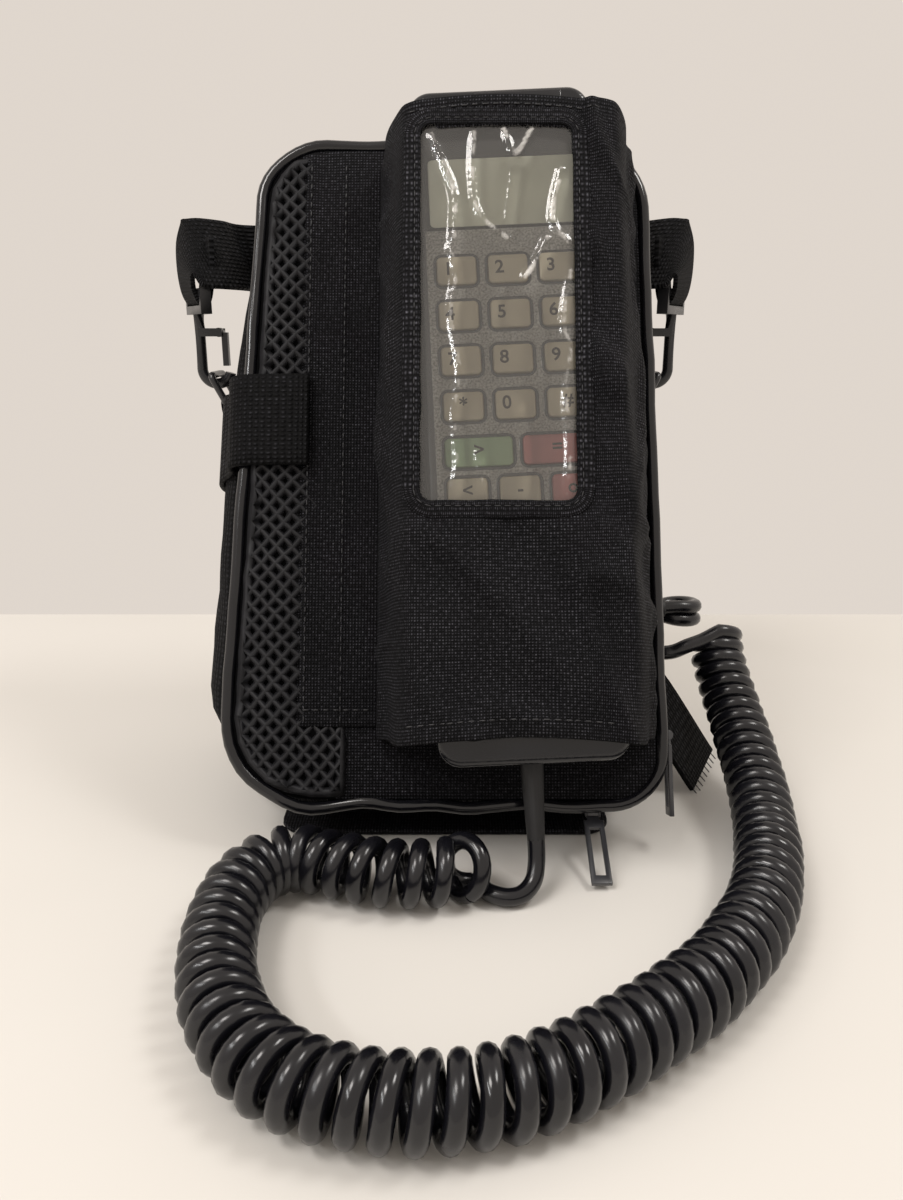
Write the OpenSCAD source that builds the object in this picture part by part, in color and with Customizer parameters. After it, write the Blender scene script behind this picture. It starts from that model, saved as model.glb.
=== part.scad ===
// Transportable bag telephone: a soft zipped bag that leans back on its flat base.
// A corded handset sits in a windowed sleeve on the bag's hinged front cover.
// Millimetres. +Z is up, the handset faces -Y, and the origin is the centre of the base.

/* [Bag] */
// Width of the front cover along its bottom edge
cover_w_bottom = 141; // [136:1:172]
// Width of the front cover along its top edge
cover_w_top = 130; // [126:1:158]
// Height of the front cover along its slope
cover_h = 223; // [210:1:268]
// How far the top of the front cover is shifted to the right
cover_skew = 2.5; // [0:0.5:5]
// Lean of the front cover from upright, in degrees
cover_lean = 22; // [20:1:24]
// Lean of the back panel from upright, in degrees
back_lean = 8; // [6:1:10]
// Width of the back panel along its bottom edge
back_w_bottom = 148; // [140:1:165]
// Depth of the bag along the floor, from the cover's bottom edge to the back panel
bag_d = 90; // [84:1:100]
// Height of the cover's bottom edge above the floor
front_edge_z = 17; // [16:0.5:20]
// Radius of the cover's and back panel's corners
corner_r = 22; // [16:1:26]
// How far the left side swells past the cover's edge
bulge_left = 12; // [6:1:14]
// How far the right side swells past the cover's edge
bulge_right = 3; // [1:0.5:5]
// Thickness of the padded panels
panel_t = 2; // [1.5:0.5:3]
// Thickness of the side wall
side_t = 2; // [1.5:0.5:3]
// Width of the flat base
base_w = 112; // [100:1:124]
// Depth of the flat base
base_d = 74; // [66:1:78]
// Diameter of the corded piping
piping_d = 4.2; // [3:0.2:5]

/* [Zip] */
// Width of each row of zip teeth
zip_row_w = 3; // [2.4:0.2:4]
// Thickness of each row of zip teeth, front to back
zip_row_t = 1.8; // [1.4:0.1:2.2]
// Gap between the two rows of teeth
zip_gap = 1; // [0.9:0.1:1.4]
// Length of a zip slider
slider_len = 11; // [9:0.5:14]
// Length of a zip pull
pull_len = 26; // [20:1:30]

/* [Handset] */
// Width of the handset
handset_w = 56.5; // [47:0.5:60]
// Height of the handset
handset_h = 208; // [195:1:215]
// Thickness of the handset
handset_t = 28; // [24:0.5:33.5]
// Tilt of the handset in its sleeve, top to the left, in degrees
handset_tilt = 2.75; // [0:0.25:3]
// Wall of the handset's two shells
shell_t = 2; // [1.6:0.1:2.4]
// Corner radius of the handset
handset_r = 7; // [4:0.5:9]
// Length of the strain relief on the handset
relief_len = 24; // [20:1:24]

/* [Keys] */
// Width of a number key
key_w = 12; // [9.5:0.1:14.4]
// Height of a key
key_h = 8.8; // [7:0.1:10.6]
// Distance between key columns
key_pitch_x = 15.6; // [15.2:0.1:16.8]
// Distance between key rows
key_pitch_z = 14.1; // [13:0.1:15]
// How far a key stands proud of the handset
key_proud = 0.8; // [0.4:0.1:1.2]
// How far a key travels when it is pressed
key_travel = 1; // [0.6:0.1:1.2]
// Gap round a key in its opening
key_gap = 0.3; // [0.2:0.05:0.4]

/* [Sleeve] */
// Thickness of the sleeve's cloth
sleeve_t = 1.6; // [1.2:0.2:2]
// Gap between the handset's face and the sleeve's front
sleeve_gap = 2; // [1.6:0.1:3]
// Width of the clear window
window_w = 47; // [40:1:50]
// Height of the clear window
window_h = 117; // [100:1:124]

/* [Strap] */
// Width of the webbing
webbing_w = 25; // [20:1:30]
// Thickness of the webbing
webbing_t = 1.8; // [1.4:0.1:2.4]
// Thickness of the snap hook's bar
hook_bar = 4; // [3.4:0.2:4.6]

/* [Cord] */
// Diameter of the cord
cord_d = 5.4; // [5:0.1:5.8]
// Outer diameter of the curly cord
coil_d = 20.4; // [18:0.2:21]

/* [Hidden] */
$fn = 32;
fit = 0.3;

// Front cover, whose own frame has its origin on the bottom edge's centre line
cover_y = -bag_d / 2 - 2;
panel_back_y = 0;
skin_y = -panel_t;
pocket_y = skin_y - 1.4;
piping_y = -1;
row_front_y = piping_y + piping_d / 2 + fit;
row_rear_y = row_front_y + zip_row_t + zip_gap;
rim_y = row_rear_y + zip_row_t + fit;
row_out = (piping_d - zip_row_w) / 2;
row_in = (piping_d + zip_row_w) / 2;

// Back panel
back_y = bag_d / 2 - 2;
back_z = 5;
cover_top_z = front_edge_z + cover_h * cos(cover_lean);
back_h = (cover_top_z - back_z) / cos(back_lean);
back_w_top = cover_w_top;

// Outlines as corner lists: x, z and radius
cover_corners = [
    [-cover_w_bottom / 2, 0, corner_r + 6],
    [cover_w_bottom / 2 - 0.5, 0, corner_r - 6],
    [cover_w_top / 2 + cover_skew, cover_h, corner_r],
    [-cover_w_top / 2 + cover_skew, cover_h, corner_r],
];
back_corners = [
    [-back_w_bottom / 2, 0, corner_r],
    [back_w_bottom / 2, 0, corner_r],
    [back_w_top / 2 + cover_skew, back_h, corner_r],
    [-back_w_top / 2 + cover_skew, back_h, corner_r],
];

// Handset place on the cover
handset_x = 26.5;
handset_l = 15.5;
handset_y = pocket_y - 0.6;
face_y = -handset_t;
split_y = -handset_t / 2;
board_y = face_y + shell_t + 4;
mat_t = 1.2;
board_t = 1.6;

// Keys: name, column offset, row height, width
row_1 = 148.9;
last_row_gap = 12.2;
row_send = row_1 - 4 * key_pitch_z;
row_last = row_send - last_row_gap;
wide_key_extra = 4.7;
wide_key_w = key_pitch_x + wide_key_extra;
wide_key_x = wide_key_w / 2 + 1.5;
key_names = [
    "key_1", "key_2", "key_3", "key_4", "key_5", "key_6",
    "key_7", "key_8", "key_9", "key_star", "key_0", "key_hash",
];
number_keys = [
    for (i = [0 : 11])
        [key_names[i], (i % 3 - 1) * key_pitch_x, row_1 - floor(i / 3) * key_pitch_z, key_w]
];
function_keys = [
    ["key_send", -wide_key_x, row_send, wide_key_w],
    ["key_end", wide_key_x, row_send, wide_key_w],
    ["key_recall", -key_pitch_x, row_last, key_w],
    ["key_clear", 0, row_last, key_w],
    ["key_power", key_pitch_x, row_last, key_w],
];
keys = concat(number_keys, function_keys);
flange = 0.7;
flange_t = 1;
flange_y = face_y + shell_t + fit;

// Display and sound parts on the handset
lens_w = 46;
lens_h = 22;
lens_z = 174;
ear_z = 196.5;
mic_z = 14;
mic_t = 3.8;
boss_x = handset_w / 2 - 6.5;
boss_z = 10;
boss_r = 3.2;
screw_r = 1.3;
screw_grip = 8;
head_r = 2.6;
head_t = 1.1;

// Sleeve on the cover: left and right edges at the back and at the front
sleeve_bottom = 21;
sleeve_top = 218;
sleeve_front_y = handset_y - handset_t - key_proud - sleeve_gap;
sleeve_left = handset_x - handset_w / 2 - 12.5;
sleeve_right = handset_x + handset_w / 2 + 5;
sleeve_flare = 8;
window_x = 14.6;
window_z = 150;
pocket_left = -47;
pocket_bottom = 25;
pocket_seam_top = 219.5;

// Side band round the left gusset
band_z = 125.5;
band_h = 30.5;

// Zip sliders: the right edge's straight part starts at this centre and leans by this angle
edge_r = cover_corners[1][2];
edge_start = [cover_corners[1][0] - edge_r, edge_r];
edge_end = [cover_corners[2][0] - corner_r, cover_corners[2][1] - corner_r];
edge_angle = atan2(edge_end[0] + corner_r - edge_start[0] - edge_r, edge_end[1] - edge_start[1]);
slider_plate = 1.2;
slider_y0 = row_front_y;
slider_y1 = row_rear_y + zip_row_t;
slider_mid_y = (slider_y0 + slider_y1) / 2;
pull_pin_x = 3.2;
pull_pin_d = 1.4;
pull_w = 6.4;
pull_t = 1.4;
pull_rest_angle = -47;
lug_y = 2;
lug_t = 0.5;

// Snap hooks at each side of the bag
hook_y = 52;
hook_z = 149.5;
hook_x_left = -88.2;
hook_x_right = 80;
hook_r = 5.5;
frame_w = 24;
frame_z = 20;
frame_h = 9;
frame_t = 4;
slot_h = 3.2;
strap_z = 191;
run_back = 26;
run_in = 12;
bundle_z = 60;
gate_pin = [hook_r - 3.5, 13.5];
gate_pin_d = 1.6;
ring_wire_d = 2.6;
ring_half = 9;
ring_foot = [4.5, -12];

// Cord: hand-chosen route points of each stretch
coil_z = coil_d / 2 + 0.2;
rear_turns = [94, 46.5, 53];
rear_turns_h = 13.4;
exit_point = [66, 39, 57];
lead_route = [
    [83.8, 46.5, 49], [79.5, 43.5, 48], [77, 37, 47], [76.5, 29, 46],
    [78, 21.5, 46], [82, 17, 46], [87.5, 16.5, 45.5], [93.5, 19, 44.5],
];
coil_route = [
    [15, -75, coil_z], [6, -77, coil_z], [-6, -78, coil_z], [-16, -77.6, coil_z],
    [-26, -76, coil_z], [-35, -72.5, coil_z], [-44, -68.5, coil_z], [-52, -70.5, coil_z],
    [-57.5, -79, coil_z], [-59.5, -92, coil_z], [-58.5, -106, coil_z], [-55.5, -120, coil_z],
    [-50, -133, coil_z], [-42, -144, coil_z], [-32, -151.5, coil_z], [-20, -155.5, coil_z],
    [-6, -157.3, coil_z], [9, -155.8, coil_z], [22, -151.5, coil_z], [35.5, -144, coil_z],
    [49.5, -134, coil_z], [64, -122, coil_z], [77, -107.5, coil_z], [88.5, -90, coil_z],
    [97.5, -68, coil_z], [103.5, -47, 11.5], [107, -27, 17], [107.5, -7, 26.5],
    [106.5, 10, 36.5], [104, 25, 46],
];
tail_route = [
    [27.6, -67.2, 15.3], [27.4, -68.8, 11.6], [25.6, -69.8, 7.8], [22.4, -70.2, 5],
    [18.6, -70.4, 3.5], [15, -70.6, 3],
];

// ---- Frames ----

module cover_frame() {
    translate([0, cover_y, front_edge_z])
        rotate([-cover_lean, 0, 0])
            children();
}

module back_frame() {
    translate([0, back_y, back_z])
        rotate([-back_lean, 0, 0])
            children();
}

module handset_frame() {
    cover_frame()
        translate([handset_x, handset_y, handset_l])
            rotate([0, -handset_tilt, 0])
                children();
}

// ---- Shapes ----

// A plate from y0 to y1 with the outline of a corner list, inset all round
module plate(corners, y0, y1, inset = 0) {
    hull()
        for (i = [0 : 3])
            corner_post(corners[i], i, y0, y1, inset);
}

module corner_post(corner, i, y0, y1, inset) {
    side = i == 0 || i == 3 ? 1 : -1;
    rise = i < 2 ? 1 : -1;
    r = corner[2];
    translate([corner[0] + side * r, y0, corner[1] + rise * r])
        rotate([-90, 0, 0])
            cylinder(r = r - inset, h = y1 - y0);
}

// A rectangle in the x-z plane with round corners, made y0 to y1 thick
module round_block(w, h, r, y0, y1) {
    translate([0, y1, 0])
        rotate([90, 0, 0])
            linear_extrude(y1 - y0)
                round_rect(w, h, r);
}

module round_rect(w, h, r) {
    translate([-w / 2 + r, 0])
        square([w - 2 * r, h]);
    translate([-w / 2, r])
        square([w, h - 2 * r]);
    for (x = [-1, 1])
        for (z = [r, h - r])
            translate([x * (w / 2 - r), z])
                circle(r);
}

// Points of one rounded corner of a loop, from angle a0 through a quarter turn
function corner_arc(corner, i, steps) =
    let (side = i == 0 || i == 3 ? 1 : -1,
         rise = i < 2 ? 1 : -1,
         r = corner[2],
         a0 = [180, 270, 0, 90][i])
    [for (k = [0 : steps])
        [corner[0] + side * r + r * cos(a0 + 90 * k / steps),
         corner[1] + rise * r + r * sin(a0 + 90 * k / steps)]];

function outline_points(corners, steps) =
    [for (i = [0 : 3]) each corner_arc(corners[i], i, steps)];

// A closed tube that follows a rounded outline in the x-z plane
module piping_loop(corners, y, d) {
    sides = 8;
    path = outline_points(corners, 6);
    n = len(path);
    points = [
        for (i = [0 : n - 1])
            let (before = path[(i + n - 1) % n],
                 after = path[(i + 1) % n],
                 along = (after - before) / norm(after - before),
                 out = [along[1], -along[0]])
            for (k = [0 : sides - 1])
                let (a = 360 * (k + 0.5) / sides,
                     q = path[i] + out * d / 2 * cos(a))
                [q[0], y + d / 2 * sin(a), q[1]]
    ];
    faces = [
        for (i = [0 : n - 1])
            for (k = [0 : sides - 1])
                let (i2 = (i + 1) % n, k2 = (k + 1) % sides)
                [i * sides + k, i * sides + k2, i2 * sides + k2, i2 * sides + k]
    ];
    polyhedron(points, faces, convexity = 4);
}

function unit(v) = v / norm(v);

function heading(route, i) =
    unit(route[min(i + 1, len(route) - 1)] - route[max(i - 1, 0)]);

// A tube of round section along a route, with flat ends
module tube(route, d, sides) {
    n = len(route);
    points = [
        for (i = [0 : n - 1])
            let (along = heading(route, i),
                 across = unit(cross(along, abs(along[2]) > 0.8 ? [1, 0, 0] : [0, 0, 1])),
                 over = cross(across, along))
            for (k = [0 : sides - 1])
                let (a = 360 * (k + 0.5) / sides)
                route[i] + across * d / 2 * cos(a) + over * d / 2 * sin(a)
    ];
    walls = [
        for (i = [0 : n - 2])
            for (k = [0 : sides - 1])
                let (k2 = (k + 1) % sides)
                [i * sides + k, (i + 1) * sides + k, (i + 1) * sides + k2, i * sides + k2]
    ];
    start_cap = [[for (k = [0 : sides - 1]) k]];
    end_cap = [[for (k = [sides - 1 : -1 : 0]) (n - 1) * sides + k]];
    polyhedron(points, concat(walls, start_cap, end_cap), convexity = 6);
}

// ---- Bag: front cover ----

module front_panel() {
    color("#1d1d1f")
        cover_frame()
            plate(cover_corners, -panel_t, panel_back_y, piping_d / 2);
}

module front_mesh() {
    color("#2b2b2d")
        cover_frame()
            intersection() {
                plate(cover_corners, skin_y - 1, skin_y, piping_d);
                translate([-cover_w_bottom, skin_y - 2, 0])
                    cube([cover_w_bottom + pocket_left - fit, 3, cover_h]);
            }
}

module front_piping() {
    color("#0c0c0e")
        cover_frame()
            piping_loop(cover_corners, piping_y, piping_d);
}

module pocket_panel() {
    color("#222224")
        cover_frame()
            intersection() {
                plate(cover_corners, pocket_y, skin_y, piping_d);
                translate([pocket_left, pocket_y - 1, pocket_bottom])
                    cube([sleeve_right + sleeve_flare - pocket_left - 4, 4, pocket_seam_top - pocket_bottom]);
            }
}

// The sleeve's body, its four upright edges leaning in towards its front
module sleeve_body(inset, y_back, y_front, z0, z1) {
    hull()
        for (z = [z0, z1])
            for (side = [0, 1]) {
                sign = side == 0 ? 1 : -1;
                edge = side == 0 ? sleeve_left : sleeve_right;
                lean_out = side == 0 ? 0 : (sleeve_top - z) / (sleeve_top - sleeve_bottom) * 3;
                translate([edge - sign * sleeve_flare + sign * inset + lean_out, y_back - 1, z])
                    cube([0.01, 1, 0.01]);
                translate([edge + sign * (inset + 4) + lean_out, y_front + 4, z])
                    cylinder(r = 4, h = 0.01);
            }
}

module handset_sleeve() {
    color("#212123")
        cover_frame()
            difference() {
                sleeve_body(0, pocket_y, sleeve_front_y - sleeve_t, sleeve_bottom, sleeve_top);
                sleeve_body(sleeve_t, pocket_y + 2, sleeve_front_y, sleeve_bottom - 1, sleeve_top + 1);
                window_block(0);
            }
}

module window_block(grow) {
    translate([window_x - window_w / 2 - grow, sleeve_front_y - sleeve_t - grow, window_z - window_h / 2])
        cube([window_w + 2 * grow, sleeve_t + 2 * grow, window_h]);
}

module sleeve_window() {
    color("#cfd3d6", 0.4)
        cover_frame()
            translate([window_x - window_w / 2, sleeve_front_y - sleeve_t + 0.4, window_z - window_h / 2])
                cube([window_w, 0.8, window_h]);
}

module side_band_front() {
    edge = cover_w_bottom / 2 + (cover_w_top - cover_w_bottom) / 2 * band_z / cover_h - cover_skew * band_z / cover_h;
    color("#1a1a1b")
        cover_frame()
            translate([-edge + piping_d / 2 + fit, pocket_y - webbing_t, band_z - band_h / 2])
                cube([edge + pocket_left + 4 - piping_d / 2 - fit, webbing_t, band_h]);
}

// A band round the cover's edge on three sides, open along the hinge edge
module edge_band(inset_out, inset_in, y0, y1) {
    intersection() {
        difference() {
            plate(cover_corners, y0, y1, inset_out);
            plate(cover_corners, y0 - 1, y1 + 1, inset_in);
        }
        translate([-cover_w_bottom / 2 + corner_r + 8, y0 - 1, -10])
            cube([cover_w_bottom * 2, y1 - y0 + 2, cover_h + 20]);
    }
}

module zip_row_front() {
    color("#1b1b1c")
        cover_frame() {
            edge_band(row_out, row_in, row_front_y, row_front_y + zip_row_t);
            edge_band(piping_d / 2 + fit, row_in, panel_back_y, row_front_y);
        }
}

module zip_row_rear() {
    color("#1b1b1c")
        cover_frame() {
            edge_band(row_out, row_in, row_rear_y, row_rear_y + zip_row_t);
            edge_band(piping_d / 2 + fit, row_in, row_rear_y + zip_row_t, rim_y);
        }
}

// ---- Bag: body ----

// The swollen body between the cover and the back panel, grown all round
module body_form(grow, front_y, rear_y) {
    mid_lean = (cover_lean + back_lean) / 2;
    swell_w = (cover_w_bottom + cover_w_top) / 2 + bulge_left + bulge_right;
    swell_r = 18;
    hull() {
        cover_frame()
            plate(cover_corners, front_y, front_y + 0.5, piping_d / 2 - grow);
        back_frame()
            plate(back_corners, rear_y - 0.5, rear_y, piping_d / 2 - grow);
        translate([(bulge_right - bulge_left) / 2, (cover_y + back_y) / 2 + 2, front_edge_z + 14])
            rotate([-mid_lean, 0, 0])
                for (x = [-1, 1])
                    for (z = [0, cover_h * 0.62])
                        translate([x * (swell_w / 2 - swell_r), -14, z])
                            rotate([-90, 0, 0])
                                cylinder(r = swell_r + grow, h = 28);
        translate([-base_w / 2 - grow, -base_d / 2 - grow, -grow])
            cube([base_w + 2 * grow, base_d + 2 * grow, 1]);
    }
}

module gusset() {
    color("#19191b")
        difference() {
            body_form(0, rim_y, 0);
            body_form(-side_t, rim_y - 8, 6);
            cover_frame()
                plate(cover_corners, rim_y - 20, rim_y + 0.5, piping_d / 2 + side_t);
            translate([-base_w / 2, -base_d / 2, -1])
                cube([base_w, base_d, 1 + side_t]);
            grommet_hole();
        }
}

module grommet_hole() {
    translate(exit_point)
        rotate([0, 90, 0])
            cylinder(d = cord_d + 4, h = 20);
}

module base_panel() {
    color("#151516")
        translate([-base_w / 2, -base_d / 2, 0])
            cube([base_w, base_d, side_t]);
}

module back_panel() {
    color("#1d1d1f")
        back_frame()
            plate(back_corners, 0, panel_t, piping_d / 2);
}

module rear_piping() {
    color("#0c0c0e")
        back_frame()
            piping_loop(back_corners, panel_t / 2, piping_d);
}

module side_band_rear() {
    color("#1a1a1b")
        intersection() {
            difference() {
                body_form(0.2 + webbing_t, rim_y + 1, -1);
                body_form(0.2, rim_y - 4, 4);
            }
            cover_frame()
                translate([-cover_w_bottom, rim_y + 1, band_z - band_h / 2])
                    cube([cover_w_bottom / 2, bag_d, band_h]);
        }
}

module webbing_tail() {
    color("#1a1a1b")
        translate([back_w_bottom / 2 + 1, 3, 36])
            rotate([0, 55, 0])
                translate([0, -webbing_w / 2, 0])
                    cube([38, webbing_w, webbing_t]);
}

// ---- Zip sliders and their pulls ----

// The frame of the slider on the right edge: x outwards, z up along the edge
module side_edge_frame() {
    cover_frame()
        translate([edge_start[0], 0, edge_start[1]])
            rotate([0, edge_angle, 0])
                translate([edge_r, 0, 0.5])
                    children();
}

// The frame of the slider on the bottom edge: x downwards, z to the right
module bottom_edge_frame() {
    cover_frame()
        translate([edge_start[0] - 0.5 - slider_len, 0, 0])
            rotate([0, 90, 0])
                children();
}

// A slider's two plates, joined by a post between the rows, and its lugs and pin
module slider_body() {
    outer_x = -row_out + fit;
    inner_x = -row_in - fit;
    translate([outer_x, slider_y0, 0])
        cube([slider_plate, slider_y1 - slider_y0, slider_len]);
    translate([inner_x - slider_plate, slider_y0, 0])
        cube([slider_plate, slider_y1 - slider_y0, slider_len]);
    translate([inner_x - 0.1, slider_mid_y - 0.3, 0])
        cube([outer_x - inner_x + 0.2, 0.6, 2.5]);
}

// The lugs and pin that a pull hangs on; along_x turns the pin along the zip
module pull_pin(turned) {
    translate([-row_out + fit + slider_plate - 0.1, slider_mid_y, slider_len / 2])
        rotate([turned ? -90 : 0, 0, 0]) {
            for (side = [-1, 1])
                translate([0, side * (lug_y + lug_t / 2) - lug_t / 2, -1.3])
                    cube([pull_pin_x, lug_t, 2.6]);
            translate([pull_pin_x - 1, -lug_y - lug_t / 2, 0])
                rotate([-90, 0, 0])
                    cylinder(d = pull_pin_d, h = 2 * lug_y + lug_t);
        }
}

// A pull with its barrel on the pin and a long slot, hanging along -z
module pull_tab(swing, turned) {
    translate([-row_out + fit + slider_plate + pull_pin_x - 1.1, slider_mid_y, slider_len / 2])
        rotate([turned ? -90 : 0, 0, 0])
            rotate([0, swing, 0])
                difference() {
                    union() {
                        translate([0, -1.9, 0])
                            rotate([-90, 0, 0])
                                cylinder(d = 3.2, h = 3.8);
                        translate([-pull_t / 2, -1.9, -4])
                            cube([pull_t, 3.8, 4]);
                        translate([-pull_t / 2, -pull_w / 2, -pull_len])
                            cube([pull_t, pull_w, pull_len - 3]);
                    }
                    translate([0, -3, 0])
                        rotate([-90, 0, 0])
                            cylinder(d = pull_pin_d + 0.2, h = 6);
                    translate([-2, -1.6, -pull_len + 3])
                        cube([4, 3.2, pull_len - 9]);
                }
}

module zip_slider_side() {
    color("#26272b")
        side_edge_frame() {
            slider_body();
            pull_pin(false);
        }
}

module zip_pull_side() {
    color("#2b2c30")
        side_edge_frame()
            pull_tab(0, false);
}

module zip_slider_bottom() {
    color("#26272b")
        bottom_edge_frame() {
            slider_body();
            pull_pin(true);
        }
}

module zip_pull_bottom() {
    color("#2b2c30")
        bottom_edge_frame()
            pull_tab(pull_rest_angle, true);
}

// ---- Carrying strap and its hooks ----

module hook_place(side) {
    translate([side < 0 ? hook_x_left : hook_x_right, hook_y, hook_z])
        mirror([side < 0 ? 0 : 1, 0, 0])
            children();
}

// A round bar from one point to another in the x-z plane, at depth y
module bar(p, q, y, d) {
    v = q - p;
    translate([p[0], y, p[1]])
        rotate([0, atan2(v[0], v[1]), 0])
            cylinder(d = d, h = norm(v));
}

// Webbing tabs on the bag's sides that hold the wire rings
module ring_tabs() {
    color("#1a1a1b")
        for (side = [-1, 1])
            hook_place(side)
                difference() {
                    translate([ring_foot[0] - 3.2, -ring_half + 2.4, ring_foot[1] - 6])
                        cube([7, 2 * ring_half - 4.8, 9]);
                    translate([ring_foot[0], -ring_half, ring_foot[1]])
                        rotate([-90, 0, 0])
                            cylinder(d = ring_wire_d + 0.2, h = 2 * ring_half);
                }
}

module d_rings() {
    head = [0, -hook_r + hook_bar / 2 + ring_wire_d / 2 + 0.2];
    reach = ring_half + ring_wire_d / 2 + 0.3;
    color("#2a2a2c")
        for (side = [-1, 1])
            hook_place(side) {
                for (end = [head, ring_foot])
                    translate([end[0], -reach, end[1]])
                        rotate([-90, 0, 0])
                            cylinder(d = ring_wire_d, h = 2 * reach);
                for (y = [-ring_half, ring_half])
                    bar(head, ring_foot, y, ring_wire_d - 0.4);
            }
}

// A hook: a bent bar, a stem, a fork for the gate and a slotted frame for the webbing
module snap_hook(side) {
    frame_x = -hook_r + 1 - frame_w / 2;
    hook_place(side) {
        rotate([90, 0, 0])
            rotate([0, 0, 180])
                rotate_extrude(angle = 165)
                    translate([hook_r, 0])
                        circle(d = hook_bar);
        translate([-hook_r, 0, 0])
            cylinder(d = hook_bar, h = frame_z + 1);
        difference() {
            translate([frame_x, -frame_t / 2, frame_z])
                cube([frame_w, frame_t, frame_h]);
            translate([frame_x + 2, -frame_t, frame_z + 3])
                cube([frame_w - 4, 2 * frame_t, slot_h]);
        }
        translate([-hook_r, -3, gate_pin[1] - 1.5])
            cube([hook_r + gate_pin[0] - 2, 6, 3]);
        for (y = [-3, 2.1])
            translate([gate_pin[0] - 3, y, gate_pin[1] - 1.5])
                cube([4.5, 0.9, 3]);
        translate([gate_pin[0], -3, gate_pin[1]])
            rotate([-90, 0, 0])
                cylinder(d = gate_pin_d, h = 6);
    }
}

module snap_hook_left() {
    color("#3a3a3d")
        snap_hook(-1);
}

module snap_hook_right() {
    color("#3a3a3d")
        snap_hook(1);
}

// The sprung gate that closes the hook's mouth, on the hook's pin
module hook_gate(side) {
    barrel_d = gate_pin_d + 1.8;
    hook_place(side)
        difference() {
            union() {
                translate([gate_pin[0], -1.9, gate_pin[1]])
                    rotate([-90, 0, 0])
                        cylinder(d = barrel_d, h = 3.8);
                translate([gate_pin[0] + 0.9, -1.5, 1.2])
                    cube([2.2, 3, gate_pin[1] - 1.2]);
            }
            translate([gate_pin[0], -2.5, gate_pin[1]])
                rotate([-90, 0, 0])
                    cylinder(d = gate_pin_d + 0.2, h = 5);
        }
}

module hook_gate_left() {
    color("#303033")
        hook_gate(-1);
}

module hook_gate_right() {
    color("#303033")
        hook_gate(1);
}

// An upright run of webbing from one plan point to the next
module strap_run(p, q, z0, z1) {
    hull()
        for (point = [p, q])
            translate([point[0], point[1], z0])
                cube([0.9, webbing_t, z1 - z0]);
}

// The folded carrying strap: a loop in each hook, a run across the back, and a bundle
module shoulder_strap() {
    loop_w = frame_w - 5.5;
    fold_y = frame_t / 2 + 0.4;
    color("#1a1a1b") {
        for (side = [-1, 1])
            hook_place(side) {
                translate([-hook_r + 1 - loop_w / 2, 0, 0]) {
                    translate([0, -fold_y - webbing_t, frame_z + 3.4])
                        cube([loop_w, webbing_t, 28]);
                    translate([0, -fold_y - webbing_t, frame_z + 3.4])
                        cube([loop_w, 2 * fold_y + 2 * webbing_t, slot_h - 0.8]);
                    translate([0, fold_y, frame_z + 3.4])
                        cube([loop_w, webbing_t, 28]);
                    translate([0, -fold_y - webbing_t, frame_z + 29.4])
                        cube([loop_w, 2 * fold_y + 2 * webbing_t, 2]);
                }
                strap_run([-hook_r - 4, fold_y], [run_in, run_back], strap_z - hook_z - webbing_w / 2,
                    strap_z - hook_z + webbing_w / 2);
            }
        strap_run([hook_x_left + run_in, hook_y + run_back], [hook_x_right - run_in, hook_y + run_back],
            strap_z - webbing_w / 2, strap_z + webbing_w / 2);
        back_frame()
            translate([-webbing_w / 2, panel_t + 3, bundle_z])
                cube([webbing_w, 12, strap_z - back_z - bundle_z]);
    }
}

// ---- Inside the bag ----

module transceiver() {
    color("#3c3d40")
        back_frame()
            translate([-60, -34, 8])
                cube([118, 30, 150]);
}

module battery_pack() {
    color("#2f3033")
        cover_frame()
            translate([-50, rim_y + 6, 14])
                cube([100, 22, 60]);
}

module cord_grommet() {
    color("#151517")
        translate(exit_point)
            rotate([0, 90, 0])
                difference() {
                    union() {
                        cylinder(d = cord_d + 4, h = 12);
                        translate([0, 0, 12])
                            cylinder(d1 = cord_d + 4, d2 = cord_d + 1.6, h = 9.5);
                    }
                    translate([0, 0, -1])
                        cylinder(d = 3, h = 8);
                }
}

// ---- Cord ----

// The two loose turns of the curly cord by the bag's back corner
module cord_rear_turns() {
    color("#101013")
        translate(rear_turns - [0, 0, rear_turns_h / 2])
            rotate_extrude()
                translate([coil_d / 2 - cord_d, 0])
                    square([cord_d, rear_turns_h]);
}

module cord_lead() {
    color("#101013")
        tube(lead_route, cord_d, 8);
}

module cord_coil() {
    color("#101013")
        tube(coil_route, coil_d, 12);
}

module cord_tail() {
    color("#101013")
        tube(tail_route, cord_d, 8);
}

// ---- Handset ----

module shell_half(y0, y1, floor_y0, floor_y1) {
    difference() {
        round_block(handset_w, handset_h, handset_r, y0, y1);
        translate([0, 0, shell_t])
            round_block(handset_w - 2 * shell_t, handset_h - 2 * shell_t, handset_r - shell_t,
                floor_y0, floor_y1);
    }
}

module rear_shell() {
    color("#141416")
        handset_frame()
            difference() {
                shell_half(split_y, 0, split_y - 1, -shell_t);
                screw_places() {
                    translate([0, 0, -shell_t - 1])
                        cylinder(r = screw_r + 0.2, h = shell_t + 2);
                    translate([0, 0, -head_t - 0.1])
                        cylinder(r = head_r + 0.2, h = head_t + 1);
                }
            }
}

// Put something at the four screw places, its z axis pointing out of the back
module screw_places() {
    for (x = [-boss_x, boss_x])
        for (z = [boss_z, handset_h - boss_z])
            translate([x, 0, z])
                rotate([-90, 0, 0])
                    children();
}

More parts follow.
